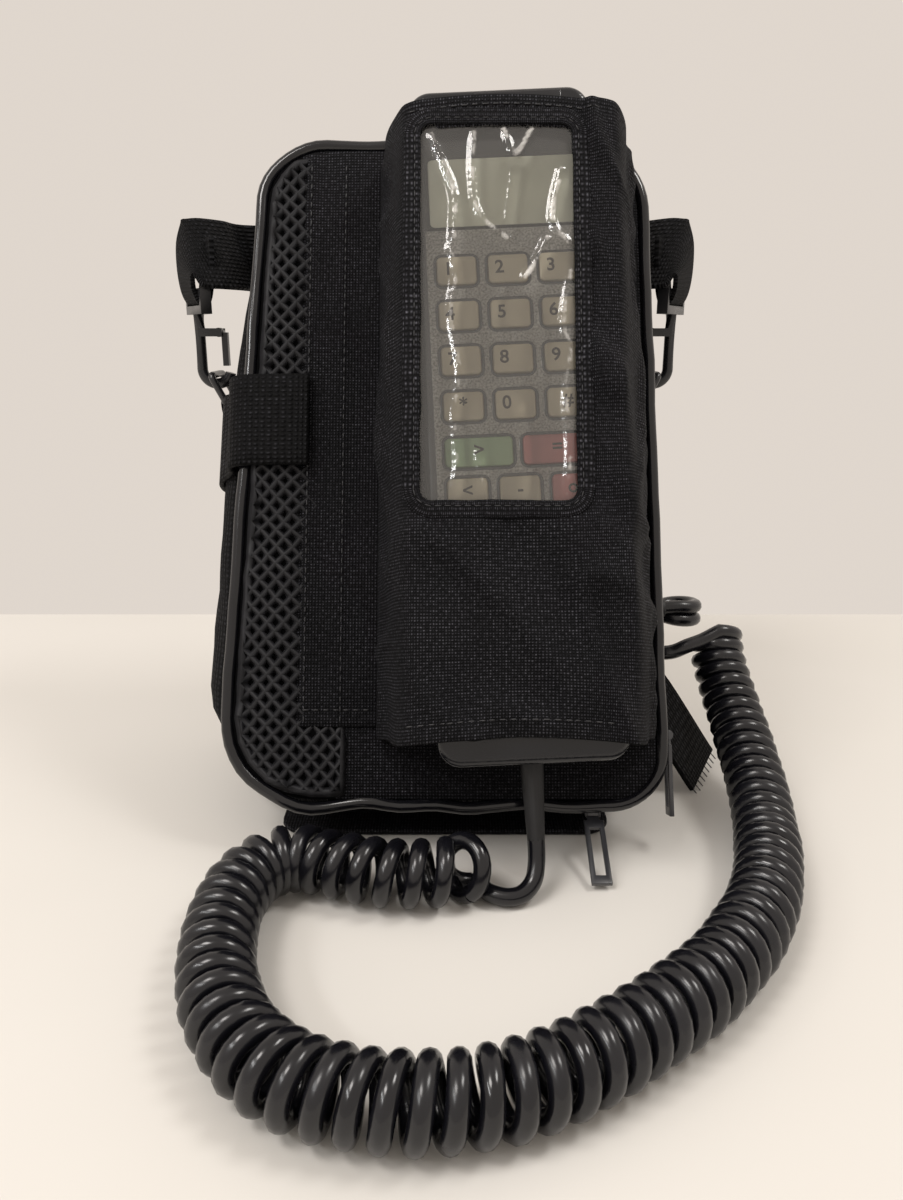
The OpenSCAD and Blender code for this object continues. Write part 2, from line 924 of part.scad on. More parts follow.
module front_shell() {
    color("#5f5b58")
        handset_frame()
            difference() {
                union() {
                    shell_half(face_y, split_y, face_y + shell_t, split_y + 1);
                    screw_places()
                        translate([0, 0, face_y + shell_t])
                            cylinder(r = boss_r, h = handset_t - 2 * shell_t - 2);
                }
                screw_places()
                    translate([0, 0, split_y - screw_grip - 0.5])
                        cylinder(r = screw_r + 0.1, h = handset_t);
                for (k = keys)
                    key_block(k, key_gap, face_y - 1, face_y + shell_t + 1, 0);
                translate([0, 0, lens_z - lens_h / 2])
                    round_block(lens_w, lens_h, 1.5, face_y - 1, face_y + shell_t + 1);
                translate([0, 0, mic_z])
                    rotate([90, 0, 0])
                        cylinder(r = 1, h = handset_t + 2);
                for (z = [-3.2, 0, 3.2])
                    translate([-5, face_y - 1, ear_z + z - 0.6])
                        cube([10, shell_t + 2, 1.2]);
            }
}

module case_screws() {
    color("#8d8f93")
        handset_frame()
            screw_places()
                difference() {
                    union() {
                        translate([0, 0, split_y - screw_grip])
                            cylinder(r = screw_r, h = screw_grip - split_y - 0.1);
                        translate([0, 0, -head_t])
                            cylinder(r = head_r, h = head_t);
                    }
                    translate([-2, -0.3, -0.5])
                        cube([4, 0.6, 1]);
                }
}

module display_lens() {
    color("#b4b8a2")
        handset_frame()
            translate([0, 0, lens_z - lens_h / 2])
                round_block(lens_w, lens_h, 1.5, face_y, face_y + 1.2);
}

module lcd_module() {
    color("#8f9480")
        handset_frame()
            translate([-lens_w / 2 - 1, face_y + shell_t + 0.2, lens_z - lens_h / 2 - 1.5])
                cube([lens_w + 2, 3.4, lens_h + 3]);
}

module keypad_mat() {
    color("#55524e")
        handset_frame()
            translate([-handset_w / 2 + 4, board_y - mat_t, row_last - key_h])
                cube([handset_w - 8, mat_t, row_1 - row_last + 2 * key_h]);
}

module circuit_board() {
    color("#2f5a3a")
        handset_frame()
            translate([-handset_w / 2 + 3, board_y, boss_z + boss_r + 2])
                cube([handset_w - 6, board_t, handset_h - 2 * (boss_z + boss_r + 2)]);
}

module earpiece() {
    color("#2b2b2d")
        handset_frame()
            translate([0, face_y + shell_t, ear_z])
                rotate([-90, 0, 0])
                    cylinder(d = 15, h = 3.6);
}

module microphone() {
    color("#2b2b2d")
        handset_frame()
            translate([0, face_y + shell_t, mic_z])
                rotate([-90, 0, 0])
                    cylinder(d = 9.7, h = mic_t);
}

module strain_relief() {
    color("#131315")
        handset_frame()
            translate([0, split_y, -relief_len])
                cylinder(d1 = cord_d + 1, d2 = cord_d + 3.4, h = relief_len);
}

// A key's block, grown by the gap, from y0 to y1
module key_block(k, grow, y0, y1, extra) {
    translate([k[1], 0, k[2] - key_h / 2 - grow])
        round_block(k[3] + 2 * grow + extra, key_h + 2 * grow + extra, 1.4, y0, y1);
}

module key(i) {
    k = keys[i];
    color(i == 12 ? "#7d9a69" : i == 13 || i == 16 ? "#8c4a46" : "#b3aa92")
        handset_frame() {
            key_block(k, 0, face_y - key_proud, flange_y + 0.1, 0);
            translate([0, 0, -flange])
                key_block(k, 0, flange_y, flange_y + flange_t, 2 * flange);
        }
}

front_panel();
front_mesh();
front_piping();
pocket_panel();
handset_sleeve();
sleeve_window();
side_band_front();
zip_row_front();
gusset();
back_panel();
rear_piping();
base_panel();
side_band_rear();
zip_row_rear();
webbing_tail();
zip_slider_side();
zip_pull_side();
zip_slider_bottom();
zip_pull_bottom();
ring_tabs();
d_rings();
snap_hook_left();
snap_hook_right();
hook_gate_left();
hook_gate_right();
shoulder_strap();
transceiver();
battery_pack();
cord_grommet();
cord_rear_turns();
cord_lead();
cord_coil();
cord_tail();
rear_shell();
front_shell();
case_screws();
display_lens();
lcd_module();
keypad_mat();
circuit_board();
earpiece();
microphone();
strain_relief();
for (i = [0 : len(keys) - 1])
    key(i);
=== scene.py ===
# %% [markdown]
# # A transportable bag telephone, built as a lesson in cells
# The real object is a soft zipped nylon bag that leans back on its flat base. A corded
# handset stands in a sleeve with a clear window, and its curly cord runs round the floor.
# The CAD part gives every place and every joint. These cells build the looks round it:
# cloth, net, webbing, vinyl, moulded plastic and the cord.

# %% Load the CAD frame
import math

import bmesh
import bpy
from mathutils import Matrix, Vector, noise


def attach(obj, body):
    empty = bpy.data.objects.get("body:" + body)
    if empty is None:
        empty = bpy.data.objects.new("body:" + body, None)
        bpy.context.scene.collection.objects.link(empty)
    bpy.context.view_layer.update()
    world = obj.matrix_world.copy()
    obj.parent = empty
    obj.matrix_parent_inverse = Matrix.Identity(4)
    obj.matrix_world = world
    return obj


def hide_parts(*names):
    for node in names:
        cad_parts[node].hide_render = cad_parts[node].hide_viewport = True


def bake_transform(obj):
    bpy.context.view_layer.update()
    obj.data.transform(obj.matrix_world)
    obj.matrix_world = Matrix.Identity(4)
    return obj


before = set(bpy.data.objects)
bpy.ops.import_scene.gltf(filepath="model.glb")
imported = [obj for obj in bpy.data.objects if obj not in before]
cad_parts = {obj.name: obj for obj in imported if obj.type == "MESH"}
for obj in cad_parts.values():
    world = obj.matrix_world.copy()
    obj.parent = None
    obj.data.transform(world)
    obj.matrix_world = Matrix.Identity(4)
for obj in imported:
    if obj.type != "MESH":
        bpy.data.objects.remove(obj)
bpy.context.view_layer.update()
MM = 0.001

# %% [markdown]
# The camera stands in front of the bag at the height of its upper half and looks down
# at it. The cord reaches far out over the floor, so the camera and the cord come first:
# together they settle how much floor the picture takes in. The sensor's 36 mm lie along
# the tall side of the frame, and a 27 mm lens is that of an ordinary pocket camera.

# %% Camera
camera_data = bpy.data.cameras.new("front_camera")
camera_data.lens = 27
camera_data.sensor_width = 36
camera = bpy.data.objects.new("front_camera", camera_data)
camera.location = Vector((2.2, -306, 162)) * MM
camera.rotation_euler = (math.radians(90 - 16.4), 0, 0)
bpy.context.scene.collection.objects.link(camera)
bpy.context.scene.camera = camera
bpy.context.scene.view_settings.view_transform = "Standard"
print("camera at", tuple(round(v, 3) for v in camera.location))

# %% [markdown]
# The floor is a pale matt sheet that ends where the wall would stand, and the world's
# own colour is the wall. That keeps the back of the object open to the other views.
# Two soft lamps hang overhead, one in front on the left and one on the right, and a long
# narrow one draws the bright line that runs along every piped edge.

# %% Floor, wall colour and lamps
def linear(hex_colour):
    """An sRGB hex colour as the linear colour that a shader takes."""
    parts = [int(hex_colour[i : i + 2], 16) / 255 for i in (1, 3, 5)]
    return (*[p / 12.92 if p <= 0.04045 else ((p + 0.055) / 1.055) ** 2.4 for p in parts], 1.0)


def add(tree, kind, props=None, inputs=None):
    """Adds one shader node, with its settings, and sets or links its inputs."""
    node = tree.nodes.new("ShaderNode" + kind)
    for name, value in (props or {}).items():
        setattr(node, name, value)
    for name, value in (inputs or {}).items():
        if isinstance(value, bpy.types.NodeSocket):
            tree.links.new(value, node.inputs[name])
        else:
            node.inputs[name].default_value = value
    return node


def new_material(name, inputs):
    """A material with one Principled shader whose sockets are set or left for links."""
    material = bpy.data.materials.new(name)
    material.use_nodes = True
    tree = material.node_tree
    surface = tree.nodes["Principled BSDF"]
    for socket, value in inputs.items():
        surface.inputs[socket].default_value = value
    return material, tree, surface


# Painted board: matt, with the faint cloudiness of a wiped surface.
floor_paint, tree, surface = new_material("painted_board", {"Roughness": 0.62})
where = add(tree, "TexCoord").outputs["Object"]
cloud = add(tree, "TexNoise", inputs={"Vector": where, "Scale": 6.0, "Detail": 3.0})
tone = add(tree, "Mix", {"data_type": "RGBA"},
           {0: cloud.outputs["Fac"], 6: linear("#d6d3cd"), 7: linear("#dedbd6")})
tree.links.new(tone.outputs[2], surface.inputs["Base Color"])

bm = bmesh.new()
bmesh.ops.create_grid(bm, x_segments=4, y_segments=4, size=1.6)
bmesh.ops.translate(bm, verts=bm.verts, vec=(0, 0.215 - 1.6, -0.0004))
floor_mesh = bpy.data.meshes.new("floor")
bm.to_mesh(floor_mesh)
bm.free()
floor = bpy.data.objects.new("floor", floor_mesh)
floor.data.materials.append(floor_paint)
bpy.context.scene.collection.objects.link(floor)

world = bpy.data.worlds.new("pale_room")
world.use_nodes = True
world.node_tree.nodes["Background"].inputs["Color"].default_value = linear("#dad1c8")
world.node_tree.nodes["Background"].inputs["Strength"].default_value = 1.06
bpy.context.scene.world = world

# Each lamp: name, place, size in metres, power in watts, colour
LAMPS = [
    ("lamp_left", (-0.55, -0.55, 1.25), (0.5, 0.35), 7.5, "#fffaf6"),
    ("lamp_right", (0.7, -0.15, 1.15), (0.4, 0.3), 5.0, "#fffcf8"),
    ("lamp_line", (-0.95, -0.75, 1.0), (0.9, 0.07), 4.5, "#ffffff"),
]
for name, place, size, power, colour in LAMPS:
    lamp_data = bpy.data.lights.new(name, "AREA")
    lamp_data.shape = "RECTANGLE"
    lamp_data.size, lamp_data.size_y = size
    lamp_data.energy = power
    lamp_data.color = linear(colour)[:3]
    lamp = bpy.data.objects.new(name, lamp_data)
    lamp.location = place
    lamp.rotation_euler = (Vector((0, -0.03, 0.1)) - Vector(place)).to_track_quat("-Z", "Y").to_euler()
    bpy.context.scene.collection.objects.link(lamp)
print("floor, wall colour and", len(LAMPS), "lamps")

# %% [markdown]
# Everything is drawn in the plain frame of the part it belongs to, in millimetres: the
# front cover leans back, the back panel leans less, and the handset is tilted in its
# sleeve. One matrix for each frame puts a finished mesh in its place.

# %% Frames of the leaning parts
ROW = Matrix.Identity(4)
COVER = Matrix.Translation((0, -47, 17)) @ Matrix.Rotation(math.radians(-22), 4, "X")
BACK = Matrix.Translation((0, 43, 5)) @ Matrix.Rotation(math.radians(-8), 4, "X")
HANDSET = COVER @ Matrix.Translation((26.5, -4, 15.5)) @ Matrix.Rotation(math.radians(-2.75), 4, "Y")
TO_METRES = Matrix.Scale(MM, 4)


def keep(name, bm, place, material, body="root", slot=None, replaces=(), smooth=True):
    """Puts a finished bmesh, drawn in its own frame, in its place as a piece of the object."""
    bmesh.ops.transform(bm, matrix=TO_METRES @ place, verts=bm.verts)
    mesh = bpy.data.meshes.new(name)
    bm.to_mesh(mesh)
    bm.free()
    if smooth:
        mesh.shade_smooth()
    piece = bpy.data.objects.new(name, mesh)
    for one in material if isinstance(material, (list, tuple)) else [material]:
        mesh.materials.append(one)
    bpy.context.scene.collection.objects.link(piece)
    if body is not None:
        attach(piece, body)
    if replaces:
        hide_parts(*replaces)
    return piece


def modifier(piece, kind, **settings):
    """Adds a modifier with its settings."""
    made = piece.modifiers.new(kind.lower(), kind)
    for name, value in settings.items():
        setattr(made, name, value)
    return made


def sheet_grid(columns, rows, size, shape, closed=False):
    """A grid whose every point is put in place by shape(u, v), with a cloth UV in mm."""
    bm = bmesh.new()
    bmesh.ops.create_grid(bm, x_segments=columns, y_segments=rows, size=0.5)
    cloth = bm.loops.layers.uv.new("cloth")
    for face in bm.faces:
        for loop in face.loops:
            u, v = loop.vert.co.x + 0.5, loop.vert.co.y + 0.5
            loop[cloth].uv = (u * size[0], v * size[1])
    for vert in bm.verts:
        vert.co = shape(vert.co.x + 0.5, vert.co.y + 0.5)
    if closed:
        bmesh.ops.remove_doubles(bm, verts=bm.verts, dist=0.01)
    return bm


def flat_cloth(bm):
    """A cloth UV in mm, laid flat on whichever way each face of a piece looks."""
    cloth = bm.loops.layers.uv.new("cloth")
    bm.normal_update()
    for face in bm.faces:
        a = [abs(v) for v in face.normal]
        i, j = (0, 2) if a[1] == max(a) else ((1, 2) if a[0] == max(a) else (0, 1))
        for loop in face.loops:
            p = loop.vert.co
            loop[cloth].uv = (p[i], p[j])


print("cover leans 22 degrees, back panel 8, handset tilted 2.75")

# %% [markdown]
# ## The curly cord
# A handset cord is a round flex with a thick smooth PVC jacket, wound hot on a rod so that
# it springs back into a coil. It could be a tube with a screw thread, but the real turns
# are one continuous flex, so one line is worked out from end to end: out of the handset's
# strain relief, round a loose ring, along the floor as about sixty-six turns, up to the
# bag's back corner, along the side, nearly twice round at the back and into the grommet.
# A curve with a round bevel then gives it its body.

# %% Lines for the cord
CORD_R = 2.7
TURN_R = 7.5


def smooth_line(points, step=None, per=None):
    """A smooth line through a few points: points about a step apart, or so many per gap."""
    ends = [Vector(p) for p in points]
    ends = [2 * ends[0] - ends[1]] + ends + [2 * ends[-1] - ends[-2]]
    line = []
    for a, b, c, d in zip(ends, ends[1:], ends[2:], ends[3:]):
        count = per or max(2, round((c - b).length / step))
        for k in range(count):
            t = k / count
            line.append(0.5 * (2 * b + (c - a) * t + (2 * a - 5 * b + 4 * c - d) * t**2
                               + (3 * b - a - 3 * c + d) * t**3))
    return line + [ends[-2]]


def wound(centre, first_side, pitch_at, stretch):
    """A left-handed coil round a centre line. Its points, and the side it ends on."""
    side, turned, points = Vector(first_side), 0.0, []
    for i, here in enumerate(centre):
        ahead = (centre[min(i + 1, len(centre) - 1)] - centre[max(i - 1, 0)]).normalized()
        side = (side - ahead * side.dot(ahead)).normalized()
        over = ahead.cross(side)
        wobble = 1 + 0.035 * noise.noise(here * 0.09)
        out = side * math.cos(turned) - over * math.sin(turned)
        points.append(here + out * TURN_R * wobble)
        if i + 1 < len(centre):
            share = i / len(centre)
            turned += math.tau * (centre[i + 1] - here).length / pitch_at(share) * stretch
    return points, out, ahead


def pitch_at(share):
    """Distance between turns: loose by the handset, tight where the coil climbs."""
    loose = max(0.0, 1 - share / 0.16)
    tight = max(0.0, (share - 0.72) / 0.28)
    return 6.7 + 1.4 * loose - 1.0 * tight


FLOOR_Z = 10.4
coil_centre = smooth_line([
    (7.8, -66.5, 9.9), (7.2, -70.5, 10.3), (3.0, -73.6, FLOOR_Z), (-6, -75, FLOOR_Z), (-16, -75, FLOOR_Z),
    (-26, -72.5, FLOOR_Z), (-35, -69.5, FLOOR_Z), (-44, -67, FLOOR_Z), (-52, -70, FLOOR_Z),
    (-57.5, -79, FLOOR_Z), (-59.5, -92, FLOOR_Z), (-58.5, -106, FLOOR_Z), (-55.5, -120, FLOOR_Z),
    (-50, -133, FLOOR_Z), (-42, -144, FLOOR_Z), (-32, -151.5, FLOOR_Z), (-20, -155.5, FLOOR_Z),
    (-6, -157.3, FLOOR_Z), (9, -155.8, FLOOR_Z), (22, -151.5, FLOOR_Z), (35.5, -144, FLOOR_Z),
    (49.5, -134, FLOOR_Z), (64, -122, FLOOR_Z), (77, -107.5, FLOOR_Z), (88.5, -90, FLOOR_Z),
    (97, -70, FLOOR_Z), (102.5, -50, 11), (105.5, -33, 14.5), (106.8, -17, 19.5), (107, -3, 25.5),
    (106.3, 8, 32), (105.2, 16.5, 39), (104.3, 22, 46), (104, 24.5, 51.5)], 0.32)
RING_START = (0.0, -0.54, -0.84)
_, out, ahead = wound(coil_centre, RING_START, pitch_at, 1.0)
turns = sum((b - a).length / pitch_at(i / len(coil_centre))
            for i, (a, b) in enumerate(zip(coil_centre, coil_centre[1:])))
want = Vector((0, -1, 0))
want = (want - ahead * want.dot(ahead)).normalized()
short = math.atan2(-ahead.dot(out.cross(want)), out.dot(want)) % math.tau
coil_line, out, ahead = wound(coil_centre, RING_START, pitch_at, 1 + short / math.tau / turns)

relief_end = Vector((27.65, -66.86, 15.89))
relief_way = Vector((0.048, -0.374, -0.926))
tail_line = smooth_line([
    relief_end - relief_way * 4, relief_end, (27.7, -69.3, 10.6), (26.6, -72.6, 6.2), (23.2, -75.4, 3.6),
    (18.5, -76.2, 3.0), (13.3, -74.2, 3.3), coil_line[0] + Vector((2.6, -0.9, -0.2))], 0.9)

TURNS_X, TURNS_Y = 94.0, 46.5
rear_turns = []
for k in range(47):
    angle = math.radians(180 - 630 * k / 46)
    rear_turns.append(Vector((TURNS_X + TURN_R * math.cos(angle), TURNS_Y + TURN_R * math.sin(angle),
                              48.2 + 9.4 * k / 46)))
lead_line = smooth_line([
    coil_line[-1], (97.5, 16.8, 51.2), (91.5, 15.9, 49.2), (86.5, 16.2, 46.8), (82, 17.3, 46),
    (78.6, 21.5, 46), (77, 28, 46.3), (76.8, 34.5, 46.8), (79, 40.5, 47.4), (83.3, 44, 47.8),
    rear_turns[0]], 1.2)
grommet_line = smooth_line([rear_turns[-1], (90.5, 39, 57.5), (85.5, 39, 57.1)], 1.2)
cord_line = tail_line[:-1] + coil_line + lead_line[1:-1] + rear_turns + grommet_line[1:]


def line_length(line):
    """Length of a line of points."""
    return sum((b - a).length for a, b in zip(line, line[1:]))


print("turns on the floor:", round(turns, 1), " whole cord in mm:", round(line_length(cord_line)))

# %% [markdown]
# PVC jacket: smooth extruded plasticised PVC, blue-black, with a soft gloss that shows the
# lamps as long highlights. Handling leaves it a little duller in places, which a slow
# noise in the roughness gives.

# %% Cord material and the three stretches of cord
# Extruded soft PVC: IOR about 1.53, glossy but not a mirror.
cord_pvc, tree, surface = new_material("extruded_pvc", {"IOR": 1.53, "Base Color": linear("#0b0b0f")})
where = add(tree, "TexCoord").outputs["Object"]
handled = add(tree, "TexNoise", inputs={"Vector": where, "Scale": 90.0, "Detail": 4.0})
rough = add(tree, "MapRange", inputs={"Value": handled.outputs["Fac"], "From Min": 0.3, "From Max": 0.7,
                                      "To Min": 0.16, "To Max": 0.3})
tree.links.new(rough.outputs["Result"], surface.inputs["Roughness"])
tone = add(tree, "Mix", {"data_type": "RGBA"},
           {0: handled.outputs["Fac"], 6: linear("#08080b"), 7: linear("#15151b")})
tree.links.new(tone.outputs[2], surface.inputs["Base Color"])
ripple = add(tree, "Bump", inputs={"Height": handled.outputs["Fac"], "Strength": 0.06, "Distance": 0.001})
tree.links.new(ripple.outputs["Normal"], surface.inputs["Normal"])


def tube_curve(name, line, radius, material, place=ROW, closed=False, sides=3):
    """A curve with a round bevel that follows a line given in mm in one of the frames."""
    data = bpy.data.curves.new(name, "CURVE")
    data.dimensions = "3D"
    spline = data.splines.new("POLY")
    spline.points.add(len(line) - 1)
    for point, p in zip(spline.points, line):
        point.co = (*(TO_METRES @ place @ Vector(p)), 1)
    spline.use_cyclic_u = closed
    spline.use_smooth = True
    data.bevel_depth = radius * MM
    data.bevel_resolution = sides
    data.use_fill_caps = not closed
    data.materials.append(material)
    made = bpy.data.objects.new(name, data)
    bpy.context.scene.collection.objects.link(made)
    return made


def as_mesh(curve):
    """The same tube as a mesh object."""
    mesh = bpy.data.meshes.new_from_object(curve)
    made = bpy.data.objects.new(curve.name, mesh)
    bpy.context.scene.collection.objects.link(made)
    old = curve.data
    name = curve.name
    bpy.data.objects.remove(curve)
    bpy.data.curves.remove(old)
    made.name = name
    mesh.name = name
    return made


def cut_at(line, distance):
    """The index of the point that lies this far along a line."""
    along = 0.0
    for i, (a, b) in enumerate(zip(line, line[1:])):
        along += (b - a).length
        if along >= distance:
            return i + 1


first_cut, second_cut = cut_at(cord_line, 38), cut_at(cord_line, 82)
upper_line = cord_line[: first_cut + 1]
lower_line = cord_line[first_cut : second_cut + 1]
main_line = cord_line[second_cut:][::-1]

cord_main = tube_curve("cord_main", main_line, CORD_R, cord_pvc, sides=4)
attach(cord_main, "root")
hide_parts("cord_rear_turns", "cord_lead", "cord_coil")

cord_upper = as_mesh(tube_curve("cord_tail_upper", upper_line, CORD_R, cord_pvc, sides=4))
cord_lower = as_mesh(tube_curve("cord_tail_lower", lower_line, CORD_R, cord_pvc, sides=4))
for piece, bodies, line in ((cord_upper, ("handset", "front_cover"), upper_line),
                            (cord_lower, ("front_cover", "root"), lower_line)):
    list(bodies)
    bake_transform(piece)
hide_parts("cord_tail")

round(line_length(main_line) * MM, 3)
round(line_length(lower_line) * MM, 3)
[p * MM for p in lower_line[::-1]]
round(line_length(upper_line) * MM, 3)
[p * MM for p in upper_line]
print("cord stretches in mm:", [round(line_length(x)) for x in (main_line, lower_line, upper_line)])

# %% [markdown]
# ## Woven cloth
# The bag is packcloth: black-dyed nylon in a plain weave, with a coating behind. Each
# thread goes over one and under the next, so the cloth is a chequerboard of small humps,
# long along the warp in one square and along the weft in the next. Two wave patterns give
# the threads and a checker picks which one lies on top. A picture of cloth could do it
# too, but nodes stay sharp at any distance and follow each piece's own cloth UV.

# %% A woven finish
def woven(name, dark, light, thread, ribs=1.0, depth=1.0, roughness=0.72, sheen=0.03):
    """A plain weave read from the cloth UV, in mm: thread is one thread's width, and ribs
    is how much longer than wide a hump is."""
    material, tree, surface = new_material(name, {
        "Roughness": roughness, "Sheen Weight": sheen, "Sheen Roughness": 0.45,
        "Sheen Tint": linear("#6c6c74"), "Specular IOR Level": 0.12})
    cloth = add(tree, "UVMap", {"uv_map": "cloth"}).outputs["UV"]
    lay = add(tree, "Mapping", inputs={"Vector": cloth, "Scale": (1 / thread, 1 / thread / ribs, 1.0)})
    # A wave of scale 0.31416 has one crest in each unit of its coordinate.
    waves = [add(tree, "TexWave", {"bands_direction": way}, {"Vector": lay.outputs[0], "Scale": 0.31416})
             for way in ("X", "Y")]
    over = add(tree, "TexChecker", inputs={"Vector": lay.outputs[0], "Scale": 1.0})
    across = [wave.outputs["Fac"] for wave in waves]
    humps = []
    for top, along in (across, across[::-1]):
        sink = add(tree, "MapRange", inputs={"Value": along, "To Min": 0.25, "To Max": 1.0})
        humps.append(add(tree, "Math", {"operation": "MULTIPLY"}, {0: top, 1: sink.outputs[0]}).outputs[0])
    height = add(tree, "Mix", {"data_type": "FLOAT"}, {0: over.outputs["Fac"], 2: humps[0], 3: humps[1]})
    # Painted highlight and shade: each thread's crown is painted lighter than the dips beside it, most on
    # random flecks where filaments would catch the light, and some threads took the dye less well.
    fleck = add(tree, "TexNoise", inputs={"Vector": lay.outputs[0], "Scale": 0.8, "Detail": 2.0})
    worn = add(tree, "TexNoise", inputs={"Vector": cloth, "Scale": 0.045, "Detail": 3.0})
    lit = add(tree, "MapRange", inputs={"Value": fleck.outputs["Fac"], "From Min": 0.42, "From Max": 0.72,
                                        "To Min": 0.12, "To Max": 1.0})
    crown_highlight = add(tree, "Math", {"operation": "POWER"}, {0: height.outputs[0], 1: 1.8})
    share = add(tree, "Math", {"operation": "MULTIPLY"}, {0: crown_highlight.outputs[0], 1: lit.outputs[0]})
    faded = add(tree, "MapRange", inputs={"Value": worn.outputs["Fac"], "From Min": 0.3, "From Max": 0.75,
                                          "To Min": 0.6, "To Max": 1.25})
    share = add(tree, "Math", {"operation": "MULTIPLY"}, {0: share.outputs[0], 1: faded.outputs[0]})
    tone = add(tree, "Mix", {"data_type": "RGBA"}, {0: share.outputs[0], 6: linear(dark), 7: linear(light)})
    tree.links.new(tone.outputs[2], surface.inputs["Base Color"])
    bump = add(tree, "Bump", inputs={"Height": height.outputs[0], "Strength": 0.7 * depth, "Distance": 0.0004})
    tree.links.new(bump.outputs["Normal"], surface.inputs["Normal"])
    return material


# Nylon packcloth, plain weave. A real thread is about 0.5 mm. It is drawn 1 mm wide, so
# that each hump's painted highlight shows as a fleck.
packcloth = woven("nylon_packcloth", "#040406", "#5e5e66", 1.0, depth=1.5)
# The panel of the sleeve faces the lamps, so its copy of the packcloth is painted a little lighter.
sleeve_cloth = woven("nylon_packcloth_painted_lighter", "#050507", "#686870", 1.0, depth=1.5)
# Nylon webbing: thick filling threads in ribs right across the band, 1.5 mm apart.
webbing = woven("nylon_webbing", "#030304", "#3c3c41", 1.5, ribs=1.5, depth=2.0, roughness=0.7)
# Knitted side cloth: coarse soft ribs, with a painted highlight on their crowns and painted shade between the
# stitches.
knit = woven("warp_knit", "#030304", "#303034", 1.4, ribs=1.35, depth=2.0, roughness=0.85, sheen=0.08)
# Zip tape: a fine tight weave, darker than the panels.
zip_tape = woven("zip_tape", "#050506", "#2a2a2d", 0.5, depth=0.5)
print("woven finishes:", [m.name for m in (packcloth, sleeve_cloth, webbing, knit, zip_tape)])

# %% [markdown]
# ## Plastics, vinyl and metal
# The other finishes are smooth. Each has its own gloss, and a little grain or wear so
# that no surface is one flat colour.

# %% Smooth finishes
def moulded(name, dark, light, grain_mm, roughness, ior, bump_mm=0.02, spread=0.08, metallic=0.0,
            extra=None):
    """A moulded or polished finish: two close colours mixed by a noise of one real grain."""
    material, tree, surface = new_material(name, {"IOR": ior, "Metallic": metallic, **(extra or {})})
    where = add(tree, "TexCoord").outputs["Object"]
    grain = add(tree, "TexNoise", inputs={"Vector": where, "Scale": 1000 / grain_mm / 4, "Detail": 3.0})
    tone = add(tree, "Mix", {"data_type": "RGBA"},
               {0: grain.outputs["Fac"], 6: linear(dark), 7: linear(light)})
    tree.links.new(tone.outputs[2], surface.inputs["Base Color"])
    worn = add(tree, "TexNoise", inputs={"Vector": where, "Scale": 60.0, "Detail": 4.0})
    rough = add(tree, "MapRange", inputs={"Value": worn.outputs["Fac"], "From Min": 0.3, "From Max": 0.7,
                                          "To Min": roughness - spread, "To Max": roughness + spread})
    tree.links.new(rough.outputs["Result"], surface.inputs["Roughness"])
    bump = add(tree, "Bump", inputs={"Height": grain.outputs["Fac"], "Strength": 0.4,
                                     "Distance": bump_mm * MM})
    tree.links.new(bump.outputs["Normal"], surface.inputs["Normal"])
    return material


# Extruded PVC over a cord: the piping sewn into both seams, glossy, scuffed in places.
piping_vinyl = moulded("piping_pvc", "#08080b", "#131317", 3.0, 0.17, 1.53, spread=0.07)
# Moulded ABS with a fine spark-eroded skin: the handset's black case.
case_abs = moulded("abs_black", "#121214", "#1e1e21", 0.5, 0.42, 1.54, bump_mm=0.05)
# Polished ABS: the display's dark surround.
bezel_abs = moulded("abs_polished", "#0c0c10", "#16161b", 2.0, 0.16, 1.54, bump_mm=0.005)
# Acetal, moulded smooth: the snap hooks and their gates.
hook_acetal = moulded("acetal_black", "#141416", "#222225", 1.5, 0.3, 1.48, bump_mm=0.03)
# Cast zinc alloy under black lacquer, worn to grey where it rubs.
zip_zinc = moulded("lacquered_zinc", "#1a1a1d", "#3b3c41", 2.0, 0.3, 1.5, bump_mm=0.02,
                   extra={"Specular IOR Level": 0.8})
# Coiled nylon monofilament: the zip's teeth.
zip_nylon = moulded("nylon_coil", "#0b0b0d", "#26262a", 1.0, 0.36, 1.53, bump_mm=0.01)
# Steel wire with a black coat.
ring_steel = moulded("coated_wire", "#161618", "#29292c", 1.0, 0.28, 1.5, bump_mm=0.01)
# Thermoplastic rubber: the strain reliefs, dull and slightly dusty.
relief_rubber = moulded("rubber_black", "#0f0f10", "#1d1d1f", 1.0, 0.55, 1.52, bump_mm=0.05)
# Urea-like beige thermoplastic: the key caps, yellowed unevenly by light.
key_plastic = moulded("key_beige", "#a89c87", "#c0b59f", 6.0, 0.38, 1.5, bump_mm=0.01)
key_green = moulded("key_green", "#7d9470", "#98ad88", 6.0, 0.38, 1.5, bump_mm=0.01)
key_red = moulded("key_red", "#944e4c", "#ad6460", 6.0, 0.38, 1.5, bump_mm=0.01)
# Pad-printed ink on the keys, matt dark brown.
key_ink = moulded("key_ink", "#2c241d", "#3a3027", 1.0, 0.6, 1.5)
# Zinc-plated steel: the four case screws.
screw_steel = moulded("plated_steel", "#9a9b9d", "#b5b6b8", 1.0, 0.3, 1.5, metallic=1.0)
# Twisted-nematic glass over a grey-green reflector.
lcd_glass = moulded("lcd_reflector", "#bbbbaa", "#c9c8b8", 12.0, 0.35, 1.5, bump_mm=0.003)
# Glass-fibre board with green solder resist, and the grey keypad rubber.
board_resist = moulded("solder_resist", "#1f4a2c", "#2f5f3d", 2.0, 0.3, 1.55)
mat_silicone = moulded("silicone_grey", "#4c4a47", "#5c5955", 1.0, 0.6, 1.43)
sound_felt = moulded("felt_black", "#0d0d0e", "#202022", 0.4, 0.8, 1.5, bump_mm=0.1)
